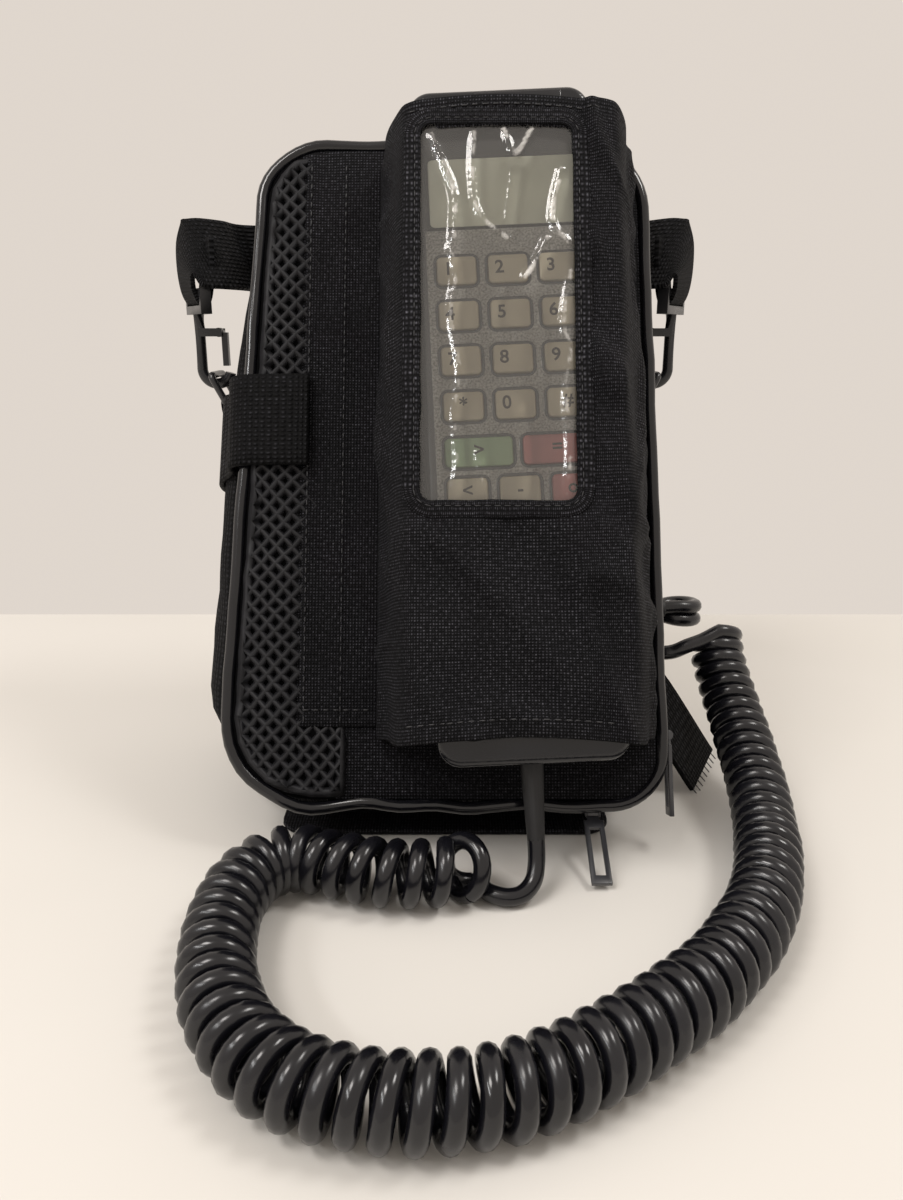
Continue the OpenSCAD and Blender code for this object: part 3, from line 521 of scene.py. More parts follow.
# Sheet-steel box with hammered paint, and the battery's ABS case, both inside the bag.
radio_paint = moulded("hammered_paint", "#2f3033", "#47484c", 1.6, 0.42, 1.5, bump_mm=0.15)
battery_abs = moulded("abs_charcoal", "#1f2022", "#2e2f32", 0.6, 0.5, 1.54, bump_mm=0.05)
# Sewing thread, bonded polyester: slightly shiny.
thread = moulded("bonded_thread", "#1d1d1f", "#3a3a3d", 0.6, 0.45, 1.5)
# Net: knitted polyester monofilament, semi-gloss.
net_yarn = moulded("polyester_net", "#0b0b0d", "#26262a", 0.6, 0.6, 1.5, bump_mm=0.05,
                   extra={"Specular IOR Level": 0.3})
# What shows through the net's holes: the dark lining, made darker and almost without reflection, as painted
# shade under the net.
net_hole_shade = moulded("lining_black_painted_shade", "#020203", "#060607", 1.0, 0.9, 1.5, extra={"Specular IOR Level": 0.05})
print("smooth finishes are ready")

# %% [markdown]
# ## Clear vinyl
# The sleeve's window is a sheet of soft clear PVC 0.5 mm thick. It has crept and wrinkled,
# so its ridges mirror the lamps. Real refraction would cost many samples for a film this
# thin, so the sheet passes light straight on and mirrors a share of it by the Fresnel law.
# The white streaks of lamp reflection on its hard creases are painted on as a diffuse white,
# led by the crease height and broken by a noise, and a faint painted white lies over all of it.

# %% Window finish
VINYL_IOR = 1.6
window_vinyl = bpy.data.materials.new("clear_soft_pvc")
window_vinyl.use_nodes = True
tree = window_vinyl.node_tree
tree.nodes.clear()
where = add(tree, "TexCoord").outputs["Object"]
crease = add(tree, "Attribute", {"attribute_name": "crease"}).outputs["Fac"]
streak_breakup_noise = add(tree, "TexNoise", inputs={"Vector": where, "Scale": 260.0, "Detail": 3.0})
broken = add(tree, "MapRange", inputs={"Value": streak_breakup_noise.outputs["Fac"], "From Min": 0.35, "From Max": 0.6,
                                       "To Min": 0.35, "To Max": 1.0})
hard = add(tree, "Math", {"operation": "MULTIPLY"}, {0: crease, 1: broken.outputs[0]})
# Painted reflection: a diffuse white stands in for the lamps' reflection on the hard creases, and 0.045 of it
# lies over the whole sheet.
painted_reflection_share = add(tree, "MapRange", inputs={"Value": hard.outputs[0], "From Min": 0.45, "From Max": 1.1,
                                      "To Min": 0.045, "To Max": 0.7})
clear = add(tree, "BsdfTransparent", inputs={"Color": linear("#f4f5f3")})
mirror = add(tree, "BsdfGlossy", inputs={"Color": linear("#ffffff"), "Roughness": 0.09})
gloss = add(tree, "Fresnel", inputs={"IOR": VINYL_IOR})
film = add(tree, "MixShader", inputs={0: gloss.outputs[0], 1: clear.outputs[0], 2: mirror.outputs[0]})
painted_reflection_white = add(tree, "BsdfDiffuse", inputs={"Color": linear("#f2f0ec")})
surface = add(tree, "MixShader", inputs={0: painted_reflection_share.outputs[0], 1: film.outputs[0], 2: painted_reflection_white.outputs[0]})
add(tree, "OutputMaterial", inputs={"Surface": surface.outputs[0]})
print("window film mirrors by IOR", VINYL_IOR)

# %% [markdown]
# ## The bag's outlines
# The front cover and the back panel are plates with round corners, narrower at the top.
# Piping, zip, panels and side wall all follow the same outlines, so one function walks
# round a corner list, and a piece that lies further in is the same walk with an inset.

# %% Outlines of the cover and the back
COVER_CORNERS = ((-70.5, 0, 28), (70, 0, 16), (67.5, 223, 22), (-62.5, 223, 22))
BACK_CORNERS = ((-74, 0, 22), (74, 0, 22), (67.5, 220.9, 22), (-62.5, 220.9, 22))
# A grid large enough to cut either panel from
PLATE_W, PLATE_H, PLATE_MIDDLE_Z = 160, 240, 111


def outline(corners, inset=0.0, arc=8, straight=14):
    """Points round an outline, counterclockwise, and the outward way at each."""
    arcs = []
    for i, (x, z, r) in enumerate(corners):
        middle = Vector((x + (r if i in (0, 3) else -r), 0, z + (r if i < 2 else -r)))
        turn = [math.radians((180, 270, 0, 90)[i] + 90 * k / arc) for k in range(arc + 1)]
        ways = [Vector((math.cos(a), 0, math.sin(a))) for a in turn]
        arcs.append([(middle + way * (r - inset), way) for way in ways])
    ring = []
    for one, after in zip(arcs, arcs[1:] + arcs[:1]):
        ring += one
        (p, way), q = one[-1], after[0][0]
        ring += [(p.lerp(q, k / straight), way) for k in range(1, straight)]
    return ring


def trim(bm, corners, inset, arc, straight_cuts):
    """Cuts a flat mesh to an outline, with a knife for each side, and then straight across."""
    ring = [p for p, _ in outline(corners, inset, arc, straight=1)]
    knives = [(p, Vector((q.z - p.z, 0, p.x - q.x))) for p, q in zip(ring, ring[1:] + ring[:1])]
    for at, way in knives + [(Vector(at), Vector(way)) for at, way in straight_cuts]:
        if way.length > 1e-6:
            bmesh.ops.bisect_plane(bm, geom=bm.verts[:] + bm.edges[:] + bm.faces[:], dist=0.01,
                                   plane_co=at, plane_no=way, clear_outer=True)


def clipped_plate(corners, inset, step, x_min=-90.0, x_max=90.0, z_min=-5.0, y=0.0):
    """A flat grid facing -y, cut to an outline and to two sides and a bottom."""
    bm = bmesh.new()
    bmesh.ops.create_grid(bm, x_segments=round(PLATE_W / step), y_segments=round(PLATE_H / step), size=0.5)
    lay = (Matrix.Translation((0, y, PLATE_MIDDLE_Z)) @ Matrix.Rotation(math.pi / 2, 4, "X")
           @ Matrix.Diagonal((PLATE_W, PLATE_H, 1, 1)))
    bmesh.ops.transform(bm, matrix=lay, verts=bm.verts)
    trim(bm, corners, inset, 7, [((x_min, 0, 0), (-1, 0, 0)), ((x_max, 0, 0), (1, 0, 0)),
                                 ((0, 0, z_min), (0, 0, -1))])
    return bm


def crumple(p, size, height, seed=0.0):
    """Soft folds: a noise of the given size and height, in mm."""
    return height * noise.noise(Vector((p.x / size + seed, p.y / size, p.z / size)))


def smooth_step(t):
    """0 to 1 with flat ends."""
    t = min(1.0, max(0.0, t))
    return t * t * (3 - 2 * t)


print("cover outline:", len(outline(COVER_CORNERS)), "points")

# %% [markdown]
# ## Front cover: padded panel, net and piping
# The cover is a thin foam pad covered with packcloth. Its left edge and the strip under the
# pocket are a coarse diamond net over the pad. The net's holes are real: a grid turned by
# 45 degrees is cut to the cover's outline and a Wireframe modifier knits its edges.

# %% Front panel
bm = clipped_plate(COVER_CORNERS, 2.1, 3.5, y=-1.0)
for vert in bm.verts:
    inward = min(vert.co.x + 68, 66 - vert.co.x, vert.co.z, 221 - vert.co.z) / 30
    vert.co.y -= 0.5 * min(1.0, max(0.0, inward)) + crumple(vert.co, 26, 0.35)
flat_cloth(bm)
# Faces under the net get the darker finish: the lining's own black with painted shade.
for face in bm.faces:
    middle = face.calc_center_median()
    face.material_index = int(middle.x < -47 or (middle.z < 25 and middle.x < -34))
front_panel = keep("front_panel_pad", bm, COVER, [packcloth, net_hole_shade], "front_cover", "nylon_weave",
                   ["front_panel"])
modifier(front_panel, "SOLIDIFY", thickness=0.002, offset=0)

# %% Net strip
NET_STEP = 3.55
bm = bmesh.new()
bmesh.ops.create_grid(bm, x_segments=80, y_segments=80, size=NET_STEP * 40)
lay = (Matrix.Translation((-40, -2.7, PLATE_MIDDLE_Z)) @ Matrix.Diagonal((1, 1, 1.1, 1))
       @ Matrix.Rotation(math.pi / 2, 4, "X") @ Matrix.Rotation(math.pi / 4, 4, "Z"))
bmesh.ops.transform(bm, matrix=lay, verts=bm.verts)
trim(bm, COVER_CORNERS, 4.6, 5, [((-33, 0, 0), (1, 0, 0))])
for vert in bm.verts:
    covered = smooth_step((vert.co.x + 48.5) / 2) * smooth_step((vert.co.z - 22) / 3)
    vert.co += Vector((crumple(vert.co, 5, 0.5), 1.3 * covered, crumple(vert.co, 5, 0.5, 9)))
    vert.co.y += crumple(vert.co, 22, 0.5, 4) * (1 - covered)
hidden = [f for f in bm.faces if f.calc_center_median().x > -45 and f.calc_center_median().z > 28]
bmesh.ops.delete(bm, geom=hidden, context="FACES")
flat_cloth(bm)
net = keep("front_net", bm, COVER, net_yarn, "front_cover", "mesh_net", ["front_mesh"])
modifier(net, "WIREFRAME", thickness=0.0034, use_boundary=True, use_even_offset=False)
print("holes in the net:", len(net.data.polygons))

# %% [markdown]
# The piping is a vinyl tube over a cord, sewn into the seam with a narrow flange. It is not
# quite straight: it waves a little where the zip pulls at it, most of all along the bottom.

# %% Piping round the cover and the back
PIPING_R = 2.1


def piping(name, corners, y, place, body, replaced, waves):
    """A tube that follows an outline, with small waves along its bottom and sides."""
    line = []
    for p, way in outline(corners, 0.0, arc=10, straight=24):
        low = max(0.0, -way.z)
        line.append(Vector((p.x, y, p.z)) + way * crumple(p, 17, waves * (0.35 + low), 3.0)
                    + Vector((0, crumple(p, 21, waves * (0.3 + 0.8 * low), 7.0), 0)))
    made = as_mesh(tube_curve(name, line, PIPING_R, piping_vinyl, place, closed=True, sides=4))
    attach(made, body)
    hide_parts(replaced)
    return made


piping("cover_piping", COVER_CORNERS, -1.0, COVER, "front_cover", "front_piping", 1.5)
piping("back_piping", BACK_CORNERS, 1.0, BACK, "root", "rear_piping", 1.3)
print("piping sewn round both panels")

# %% [markdown]
# ## Stitches
# Every seam of the bag is sewn with black bonded thread at about three stitches in 10 mm.
# One stitch is a short bead with pointed ends. The cover has nearly three hundred of them,
# so each keeps to twelve faces.

# %% A seam of stitches
def evenly(line, ways, pitch, due):
    """Places at an even pitch along a line: each one's point, way ahead and way outwards."""
    along = 0.0
    for a, b, way in zip(line, line[1:], ways):
        step = (b - a).length
        while step > 1e-6 and due <= along + step:
            yield a.lerp(b, (due - along) / step), (b - a).normalized(), way
            due += pitch
        along += step


def seam(bm, line, ways, pitch=3.2, length=2.3, thickness=0.55):
    """Adds stitches along a line. ways gives the outward way of the cloth at each point."""
    for at, x, way in evenly(line, ways, pitch, pitch / 2):
        z = (way - x * way.dot(x)).normalized()
        turn = Matrix((x, z.cross(x), z)).transposed().to_4x4()
        size = Matrix.Diagonal((length / 2, thickness / 2, thickness / 2, 1))
        bmesh.ops.create_uvsphere(
            bm, u_segments=4, v_segments=3, radius=1.0,
            matrix=Matrix.Translation(at) @ turn @ size @ Matrix.Rotation(math.pi / 2, 4, "Y"))


# %% [markdown]
# ## Pocket panel and handset sleeve
# A second layer of packcloth covers the middle of the cover. On the left it lies flat with
# a sewn fold, and to the right of its seam it rises into the sleeve that holds the
# handset. The sleeve is open at the top and the bottom, hemmed with folded tape, and its
# cloth hangs in long slanting folds where it climbs from the panel to the front.

# %% Pocket panel
bm = clipped_plate(COVER_CORNERS, 3.4, 2.4, x_min=-47, x_max=64, z_min=25, y=-3.0)
for vert in bm.verts:
    p = vert.co
    p.y -= crumple(p, 16, 0.7, 2) + crumple(p, 40, 0.8, 5)
    p.y -= 0.6 * max(0.0, 1 - abs(p.x + 45) / 3) + 0.5 * max(0.0, 1 - abs(p.z - 26.5) / 3)
    p.y -= 0.35 * max(0.0, 1 - abs(p.x + 33.5) / 1.6)
    if p.x < -46.5:
        p.x += crumple(p, 30, 0.8, 1)
flat_cloth(bm)
pocket = keep("pocket_cloth", bm, COVER, packcloth, "front_cover", "nylon_weave", ["pocket_panel"])
modifier(pocket, "SOLIDIFY", thickness=0.0009, offset=-1)

# %% Sleeve
WINDOW = (-7.6, 39.4, 91.5, 208.5)  # left, right, bottom, top
FRONT_Y = -36.2


# Stations across the sleeve: up the left wall, over the front, down the right wall
across = [(-21.8 + 10.6 * (k / 14) ** 1.05, -3.7 - 31.6 * math.sin(math.pi / 2 * k / 14) ** 1.3)
          for k in range(15)]
across += [(-9.9, -36.0)] + [(WINDOW[0] + 47 * k / 20, FRONT_Y) for k in range(21)]
across += [(WINDOW[1] + 10.5 * k / 7, FRONT_Y) for k in range(1, 8)]
across += [(52.3 + 12.3 * (k / 14), -3.8 - 32.2 * math.cos(math.pi / 2 * k / 14) ** 1.2)
           for k in range(15)]
# Stations up the sleeve, with the window's two edges among them
upward = [21 + 70.5 * k / 26 for k in range(27)] + [91.5 + 117 * k / 40 for k in range(1, 41)]
upward += [211.5, 214.8, 218]


def sleeve_shape(u, v):
    """One point of the sleeve's outer surface."""
    x, y = across[round(u * (len(across) - 1))]
    z = upward[round(v * (len(upward) - 1))]
    p = Vector((x, y, z))
    high = (z - 21) / 197
    front = smooth_step((-y - 20) / 14)
    x += (1 - high) * 3 * smooth_step((x - 20) / 35) - 1.5 * smooth_step((x - 42) / 12) * high
    near_window = smooth_step((min(x + 14, 43 - x) + 3) / 4) * smooth_step((z - 82) / 7)
    free = (1 - near_window) * (0.35 + 0.65 * smooth_step((x + 22) / 3))
    slant = Vector((p.x * 0.05 + p.z * 0.034, p.y * 0.045 - p.z * 0.016, p.z * 0.012))
    ridge = 1 - min(1.0, abs(noise.noise(slant * 0.9 + Vector((7.7, 2, 0)))) * 5)
    fold = noise.noise(slant * 1.15 + Vector((3.1, 0, 0))) * 2.6 + crumple(p, 15, 0.5, 8) + 3.4 * ridge * ridge
    depth = fold * free * smooth_step((-y - 3) / 6)
    x += depth * (1 - front) * (-0.8 if x < 20 else 0.8)
    sag = 1.2 * front * smooth_step(1 - (z - 21) / 30) * smooth_step((x + 5) / 30)
    y -= depth * (0.45 + 0.55 * front) - sag
    hem = 3.8 * math.sin(math.pi * min(1.0, max(0.0, (x + 20) / 78))) - 4.2
    z += smooth_step((high - 0.8) / 0.2) * hem
    z += (1 - smooth_step(high / 0.2)) * (2.4 * math.sin((x + 10) / 22) + 1.5 * (1 - front))
    y -= 0.5 * max(0.0, 1 - abs(z - 24) / 4) * front + 0.6 * smooth_step((z - 212) / 3) * front
    return Vector((x, y, z))


bm = sheet_grid(len(across) - 1, len(upward) - 1, (150, 197), sleeve_shape)
cut = [f for f in bm.faces if f.calc_center_median().y < -30
       and WINDOW[0] < f.calc_center_median().x < WINDOW[1]
       and WINDOW[2] < f.calc_center_median().z < WINDOW[3]]
bmesh.ops.delete(bm, geom=cut, context="FACES")
sleeve = keep("handset_sleeve_cloth", bm, COVER, sleeve_cloth, "front_cover", "nylon_weave",
              ["handset_sleeve"])
modifier(sleeve, "SUBSURF", levels=1, render_levels=1)
modifier(sleeve, "SOLIDIFY", thickness=0.0011, offset=-1)
print("sleeve stations:", len(across), "by", len(upward))

# %% Tape round the window, with its stitches
FRAME_CORNERS = ((WINDOW[0], WINDOW[2], 4.0), (WINDOW[1], WINDOW[2], 4.0),
                 (WINDOW[1], WINDOW[3], 4.0), (WINDOW[0], WINDOW[3], 4.0))
FRAME_ROWS = ((0.5, 0.45), (0.25, 0.7), (-0.4, 0.78), (-2.2, 0.75), (-3.9, 0.7), (-4.7, 0.45), (-4.9, 0.1))


def frame_shape(u, v):
    """One point of the tape: round the window by u, across the tape by v."""
    inset, proud = FRAME_ROWS[round(v * (len(FRAME_ROWS) - 1))]
    ring = outline(FRAME_CORNERS, inset, arc=6, straight=22)
    p, way = ring[round(u * len(ring)) % len(ring)]
    proud += 0.16 * noise.noise(p * 0.2)
    return Vector((p.x, FRONT_Y - proud, p.z)) + way * crumple(p, 9, 0.3)


ring_count = len(outline(FRAME_CORNERS, arc=6, straight=22))
bm = sheet_grid(ring_count, len(FRAME_ROWS) - 1, (330, 7), frame_shape, closed=True)
bmesh.ops.reverse_faces(bm, faces=bm.faces)
window_tape = keep("window_tape", bm, COVER, sleeve_cloth, "front_cover", "nylon_weave")
modifier(window_tape, "SOLIDIFY", thickness=0.0005, offset=-1)

bm = bmesh.new()
line = [Vector((p.x, FRONT_Y - 0.85, p.z)) for p, _ in outline(FRAME_CORNERS, -1.3, arc=8, straight=26)]
seam(bm, line + line[:1], [Vector((0, -1, 0))] * len(line), pitch=2.9, thickness=0.4)
for x in (-45.2, -33.5):
    line = [Vector((x, -4.15, 26 + 3 * k)) for k in range(64)]
    seam(bm, line, [Vector((0, -1, 0))] * len(line))
line = [Vector((-46 + 3 * k, -4.2, 30.5)) for k in range(8)]
seam(bm, line, [Vector((0, -1, 0))] * len(line))
for z in (26.5, 214.5):
    line = [sleeve_shape(k / (len(across) - 1), min(range(len(upward)), key=lambda j: abs(upward[j] - z))
                         / (len(upward) - 1)) + Vector((0, -0.25, 0)) for k in range(14, 42)]
    seam(bm, line, [Vector((0, -1, 0))] * len(line))
stitches = keep("cover_stitches", bm, COVER, thread, "front_cover", "nylon_weave")
print("stitches on the cover:", len(stitches.data.polygons) // 12)

# %% [markdown]
# The window itself is a sheet of wrinkled vinyl. Its ridges are drawn as soft crests along
# a few wandering lines, because real creases run long and cross each other at a slant, and
# a plain noise gives only dimples. The height of the crest is also kept as an attribute,
# so the finish can paint a white reflection along the hard creases.

# %% Vinyl window
# Creases, each a wandering line of x, z in the cover's frame, and its height in mm
CREASES = [
    ([(-4, 205), (0, 195), (3, 186), (3, 172)], 1.0), ([(9, 206), (8.5, 192), (10.5, 180), (19, 172)], 0.9),
    ([(18, 207), (21.5, 199), (26.5, 207)], 1.0), ([(21.5, 199), (20.5, 190), (19, 178)], 0.5),
    ([(35.5, 194), (33, 183), (33, 176), (37, 171)], 1.1), ([(31, 172), (27, 164), (24.5, 160)], 1.2),
    ([(2, 169), (3.5, 160), (2, 148), (4.5, 132), (3, 118), (4, 104), (3, 94)], 0.7),
    ([(38, 162), (35.5, 146), (37.5, 138), (36, 124), (37, 108), (36, 94)], 0.8),
    ([(10, 106), (11, 99), (12, 93)], 0.6),
    ([(22, 122), (24, 108), (23.5, 95)], 0.5), ([(16, 160), (14.5, 150), (16, 142)], 0.35),
    ([(27, 150), (28.5, 141), (27.5, 131)], 0.35), ([(14, 99), (15.5, 96), (15, 92)], 0.5),
]
crease_points = [(smooth_line([(x, 0, z) for x, z in line], 1.2), height) for line, height in CREASES]
crease_boxes = [(min(q.x for q in line) - 4, max(q.x for q in line) + 4, min(q.z for q in line) - 4,
                 max(q.z for q in line) + 4) for line, _ in crease_points]


def crest(p):
    """How high the creases stand at a point, in mm."""
    best = 0.0
    for (line, height), (left, right, low, top) in zip(crease_points, crease_boxes):
        if not (left < p.x < right and low < p.z < top):
            continue
        near = min(Vector((q.x - p.x, 0, q.z - p.z)).length_squared for q in line)
        best = max(best, height * math.exp(-near / 1.5))
    return best


def window_shape(u, v):
    """One point of the vinyl."""
    p = Vector((WINDOW[0] - 1.5 + 50 * u, 0, WINDOW[2] - 1.5 + 120 * v))  # tucked 1.5 mm under the tape
    edge = smooth_step(min(u, 1 - u) * 9) * smooth_step(min(v, 1 - v) * 14)
    broad = noise.noise(Vector((p.x * 0.09, 0, p.z * 0.018))) * 0.7 + crumple(p, 9, 0.12, 5)
    p.y = FRONT_Y + 0.5 - edge * (crest(p) + broad)
    return p


bm = sheet_grid(64, 150, (50, 120), window_shape)
crease_height_layer = bm.verts.layers.float.new("crease")
for vert in bm.verts:
    vert[crease_height_layer] = crest(vert.co)
window = keep("window_sheet", bm, COVER, window_vinyl, "front_cover", "clear_vinyl", ["sleeve_window"])
print("creases in the window:", len(CREASES))

# %% [markdown]
# ## The zip
# Two rows of coiled nylon run round three sides between the cover and the body. Each turn
# of the coil shows as a slanting bead, so a row is a few hundred beads on a folded tape.
# The slider has closed them, so the rows lie almost against each other.

# %% Zip rows
TOOTH_PITCH = 1.9


def round_edges(bm, edges, radius, segments, **more):
    """Bevels some edges of a bmesh."""
    bmesh.ops.bevel(bm, geom=edges, offset=radius, segments=segments, profile=0.5, affect="EDGES",
                    material=-1, **more)


def box(bm, middle, size):
    """Adds a block to a bmesh."""
    bmesh.ops.create_cube(bm, size=1.0, matrix=Matrix.Translation(middle) @ Matrix.Diagonal((*size, 1)))


def zip_row(name, y, tape_y, body, replaced):
    """Beads along the cover's outline, and the edge of the tape they are sewn to."""
    ring = outline(COVER_CORNERS, PIPING_R, arc=12, straight=40)
    start = min(range(len(ring)), key=lambda i: ring[i][0].z * 10 + abs(ring[i][0].x + 40))
    ring = [(p, way) for p, way in ring[start:] + ring[:start] if p.x > -40]
    line, ways = [p for p, _ in ring], [way for _, way in ring]
    bm = bmesh.new()
    for at, x, way in evenly(line, ways, TOOTH_PITCH, 0.0):
        turn = Matrix((x, way.cross(x), way)).transposed().to_4x4()
        place = Matrix.Translation(at + Vector((0, y, 0))) @ turn
        slant = Matrix.Rotation(math.radians(24), 4, "Y") @ Matrix.Diagonal((1.15, 1.7, 2.7, 1))
        bmesh.ops.create_cube(bm, size=1.0, matrix=place @ slant)
    round_edges(bm, bm.edges[:], 0.36, 2)
    keep(name + "_teeth", bm, COVER, zip_nylon, body, "zip_coil", [replaced])

    section = [(1.5, tape_y - 0.7), (3.9, tape_y - 0.7), (3.9, tape_y + 0.7), (1.5, tape_y + 0.7)]

    def tape_shape(u, v):
        inset, y = section[round(u * 4) % 4]
        p, way = ring[round(v * (len(ring) - 1))]
        return p + way * (PIPING_R - inset) + Vector((0, y, 0))

    length = line_length(line)
    bm = sheet_grid(4, len(ring) - 1, (6, length), tape_shape, closed=True)
    ends = [e for e in bm.edges if len(e.link_faces) == 1]
    bmesh.ops.holes_fill(bm, edges=ends, sides=8)
    bmesh.ops.recalc_face_normals(bm, faces=bm.faces)
    keep(name + "_tape", bm, COVER, zip_tape, body, "zip_coil", smooth=False)
    return length


zip_length = zip_row("zip_front", 2.3, 0.75, "front_cover", "zip_row_front")
zip_row("zip_rear", 5.1, 6.9, "root", "zip_row_rear")
print("zip length in mm:", round(zip_length))

# %% [markdown]
# ## Side wall, back and base
# The side wall is one knitted cloth that runs from the zip to the back panel. It swells on
# the left, where the radio pushes it out, and drops to the base board under the bag. It is
# drawn between the two outlines: u goes round the bag and v goes from the front to the back.

# %% Side wall
WALL_STATIONS = {"arc": 10, "straight": 26}
COVER_DEPTH = Vector((0, 7.5, 0))
COVER_RING = [COVER @ (p + COVER_DEPTH) for p, _ in outline(COVER_CORNERS, PIPING_R, **WALL_STATIONS)]
BACK_RING = [BACK @ p for p, _ in outline(BACK_CORNERS, PIPING_R, **WALL_STATIONS)]
RING_WAYS = [way for _, way in outline(COVER_CORNERS, PIPING_R, **WALL_STATIONS)]
BULGE_LEFT, BULGE_RIGHT_TOP, BULGE_RIGHT_MORE = 14.5, 2.5, 4.5


def wall_point(i, v, out=0.0):
    """One point of the side wall: at index i round the bag, v from front to back."""
    i %= len(COVER_RING)
    a, b, way = COVER_RING[i], BACK_RING[i], RING_WAYS[i]
    p = a.lerp(b, v)
    share = min(1.0, max(0.15, (p.z + 6) / 45)) * min(1.0, max(0.2, (240 - p.z) / 105))
    swell = math.sin(math.pi * min(1.0, max(0.0, v)) ** 0.75) ** 0.7
    bulge = (BULGE_LEFT if way.x < 0
             else BULGE_RIGHT_TOP + BULGE_RIGHT_MORE * smooth_step(1 - p.z / 160))
    side = bulge * abs(way.x) ** 1.5 * share * swell
    p += Vector((math.copysign(side, way.x), 0, 0))
    if way.z < 0:
        p.z += (1.0 - p.z) * -way.z * smooth_step(v * 5) * smooth_step((1 - v) * 7)
        p.x *= 1 - 0.17 * -way.z * swell
    elif way.z > 0:
        p.z += 2.5 * way.z * swell
    fold = noise.noise(Vector((p.x * 0.03, v * 3.0, p.z * 0.045)) * 1.3) * 1.5
    fold = fold * swell * (0.15 if way.z < -0.3 else 1.0)
    return p + Vector((way.x, 0, way.z)) * (fold + out)


bm = sheet_grid(len(COVER_RING), 22, (735, 60),
                lambda u, v: wall_point(round(u * len(COVER_RING)), v), closed=True)
wall_area = sum(face.calc_area() for face in bm.faces) * 1e-6
bmesh.ops.reverse_faces(bm, faces=bm.faces)
wall = keep("side_wall_cloth", bm, ROW, knit, "root", "gusset_knit", ["gusset"])
modifier(wall, "SOLIDIFY", thickness=0.0014, offset=-1)
print("side wall area in square metres:", round(wall_area, 4))

# %% Hinge cloth along the left edge
left = [i for i, way in enumerate(RING_WAYS) if way.x < -0.55]
hinge_rows = ((2.4, 0.6), (3.2, 2.6), (3.3, 4.6), (2.5, 6.9), (2.3, 8.2))


def hinge_shape(u, v):
    """One point of the strip between the cover's edge and the side wall."""
    i = left[round(u * (len(left) - 1))]
    inset, y = hinge_rows[round(v * 4)]
    return outline(COVER_CORNERS, inset, **WALL_STATIONS)[i][0] + Vector((0, y, 0))


bm = sheet_grid(len(left) - 1, 4, (220, 9), hinge_shape)
bmesh.ops.reverse_faces(bm, faces=bm.faces)
hinge = keep("hinge_cloth", bm, COVER, knit, None, "gusset_knit")
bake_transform(hinge)
modifier(hinge, "SOLIDIFY", thickness=0.001, offset=0)
print("hinge strip points:", len(hinge.data.vertices))

# %% Back panel and base
bm = clipped_plate(BACK_CORNERS, 2.1, 4.0, y=1.3)
for vert in bm.verts:
    vert.co.y += crumple(vert.co, 30, 0.5, 6)
bmesh.ops.reverse_faces(bm, faces=bm.faces)
flat_cloth(bm)
back_pad = keep("back_panel_pad", bm, BACK, packcloth, "root", "nylon_weave", ["back_panel"])
modifier(back_pad, "SOLIDIFY", thickness=0.0024, offset=0)

bm = bmesh.new()
box(bm, (0, 0, 1.0), (112, 74, 1.9))
round_edges(bm, [e for e in bm.edges if abs(e.verts[0].co.z - e.verts[1].co.z) > 1], 9, 5)
round_edges(bm, [e for e in bm.edges if e.calc_face_angle(0) > 0.9], 0.7, 3)
flat_cloth(bm)
keep("base_board_cover", bm, ROW, packcloth, "root", "nylon_weave", ["base_panel"], smooth=False)
print("back panel padded, base board covered")

# %% [markdown]
# ## Webbing
# The carrying strap and a cut tail are 25 mm nylon webbing. The side band round the hinge
# edge is 30.5 mm wide and the tabs of the rings are 13 mm. A strap is a row of stations,
# each with the two edge points of the webbing, so that it can fold over itself on a slant.

# %% Straps from stations
STRAP_COLUMNS = 8


def strap(name, stations, per=5, place=ROW, width=25, thickness=1.7, body="root", replaces=()):
    """Webbing that runs through its stations; every station is a pair of edge points."""
    lines = [smooth_line([pair[side] for pair in stations], per=per) for side in (0, 1)]
    rows = len(lines[0]) - 1
    run = line_length([a.lerp(b, 0.5) for a, b in zip(*lines)])

    def shape(u, v):
        i = round(v * rows)
        p = lines[0][i].lerp(lines[1][i], u)
        return p + Vector((0, crumple(p, 14, 0.3, 2), 0))

    bm = sheet_grid(STRAP_COLUMNS, rows, (width, run), shape)
    piece = keep(name, bm, place, webbing, body, "webbing", replaces)
    if body is not None:
        modifier(piece, "SOLIDIFY", thickness=thickness * MM, offset=0)
        modifier(piece, "BEVEL", width=0.0004, segments=2, limit_method="ANGLE", angle_limit=math.radians(50))
    return piece, run


# Side band: over the pocket's edge and the piping, then round the swollen side
BAND_EDGES_Z = (110.3, 140.7)
front_band = [[Vector((x, y, z)) for z in BAND_EDGES_Z] for x, y in (
    (-44.8, -5.6), (-49, -5.6), (-55, -5.5), (-61, -5.3), (-66, -4.9), (-69.5, -3.4), (-71.6, -0.5),
    (-72.3, 3), (-72.6, 7))]
to_cover = COVER.inverted()
left_side = [i for i, way in enumerate(RING_WAYS) if way.x < -0.99]
for v in (0.10, 0.22, 0.36, 0.5, 0.64, 0.78, 0.9, 1.0):
    pair = []
    for z in BAND_EDGES_Z:
        i = min(left_side, key=lambda k: abs((to_cover @ wall_point(k, v)).z - z))
        p = to_cover @ wall_point(i, v, 1.7)
        pair.append(Vector((p.x, p.y, z)))
    front_band.append(pair)
band, band_run = strap("side_band", front_band, place=COVER, width=30.5, body=None,
                       replaces=["side_band_front", "side_band_rear"])
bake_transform(band)
modifier(band, "SOLIDIFY", thickness=0.0016, offset=0)
print("side band in mm:", round(band_run))

# %% [markdown]
# The carrying strap is folded up behind the bag. At each side it comes round from behind,
# folds over itself on a slant and drops into the slot of the snap hook, and behind the
# bag the spare length hangs in a folded bundle.

# %% Carrying strap
TURN = math.radians(62)
HOOK_X = {-1: -88.2, 1: 80}
HOOK_Y, HOOK_Z = 52, 149.5
SIDES = ((-1, "left"), (1, "right"))


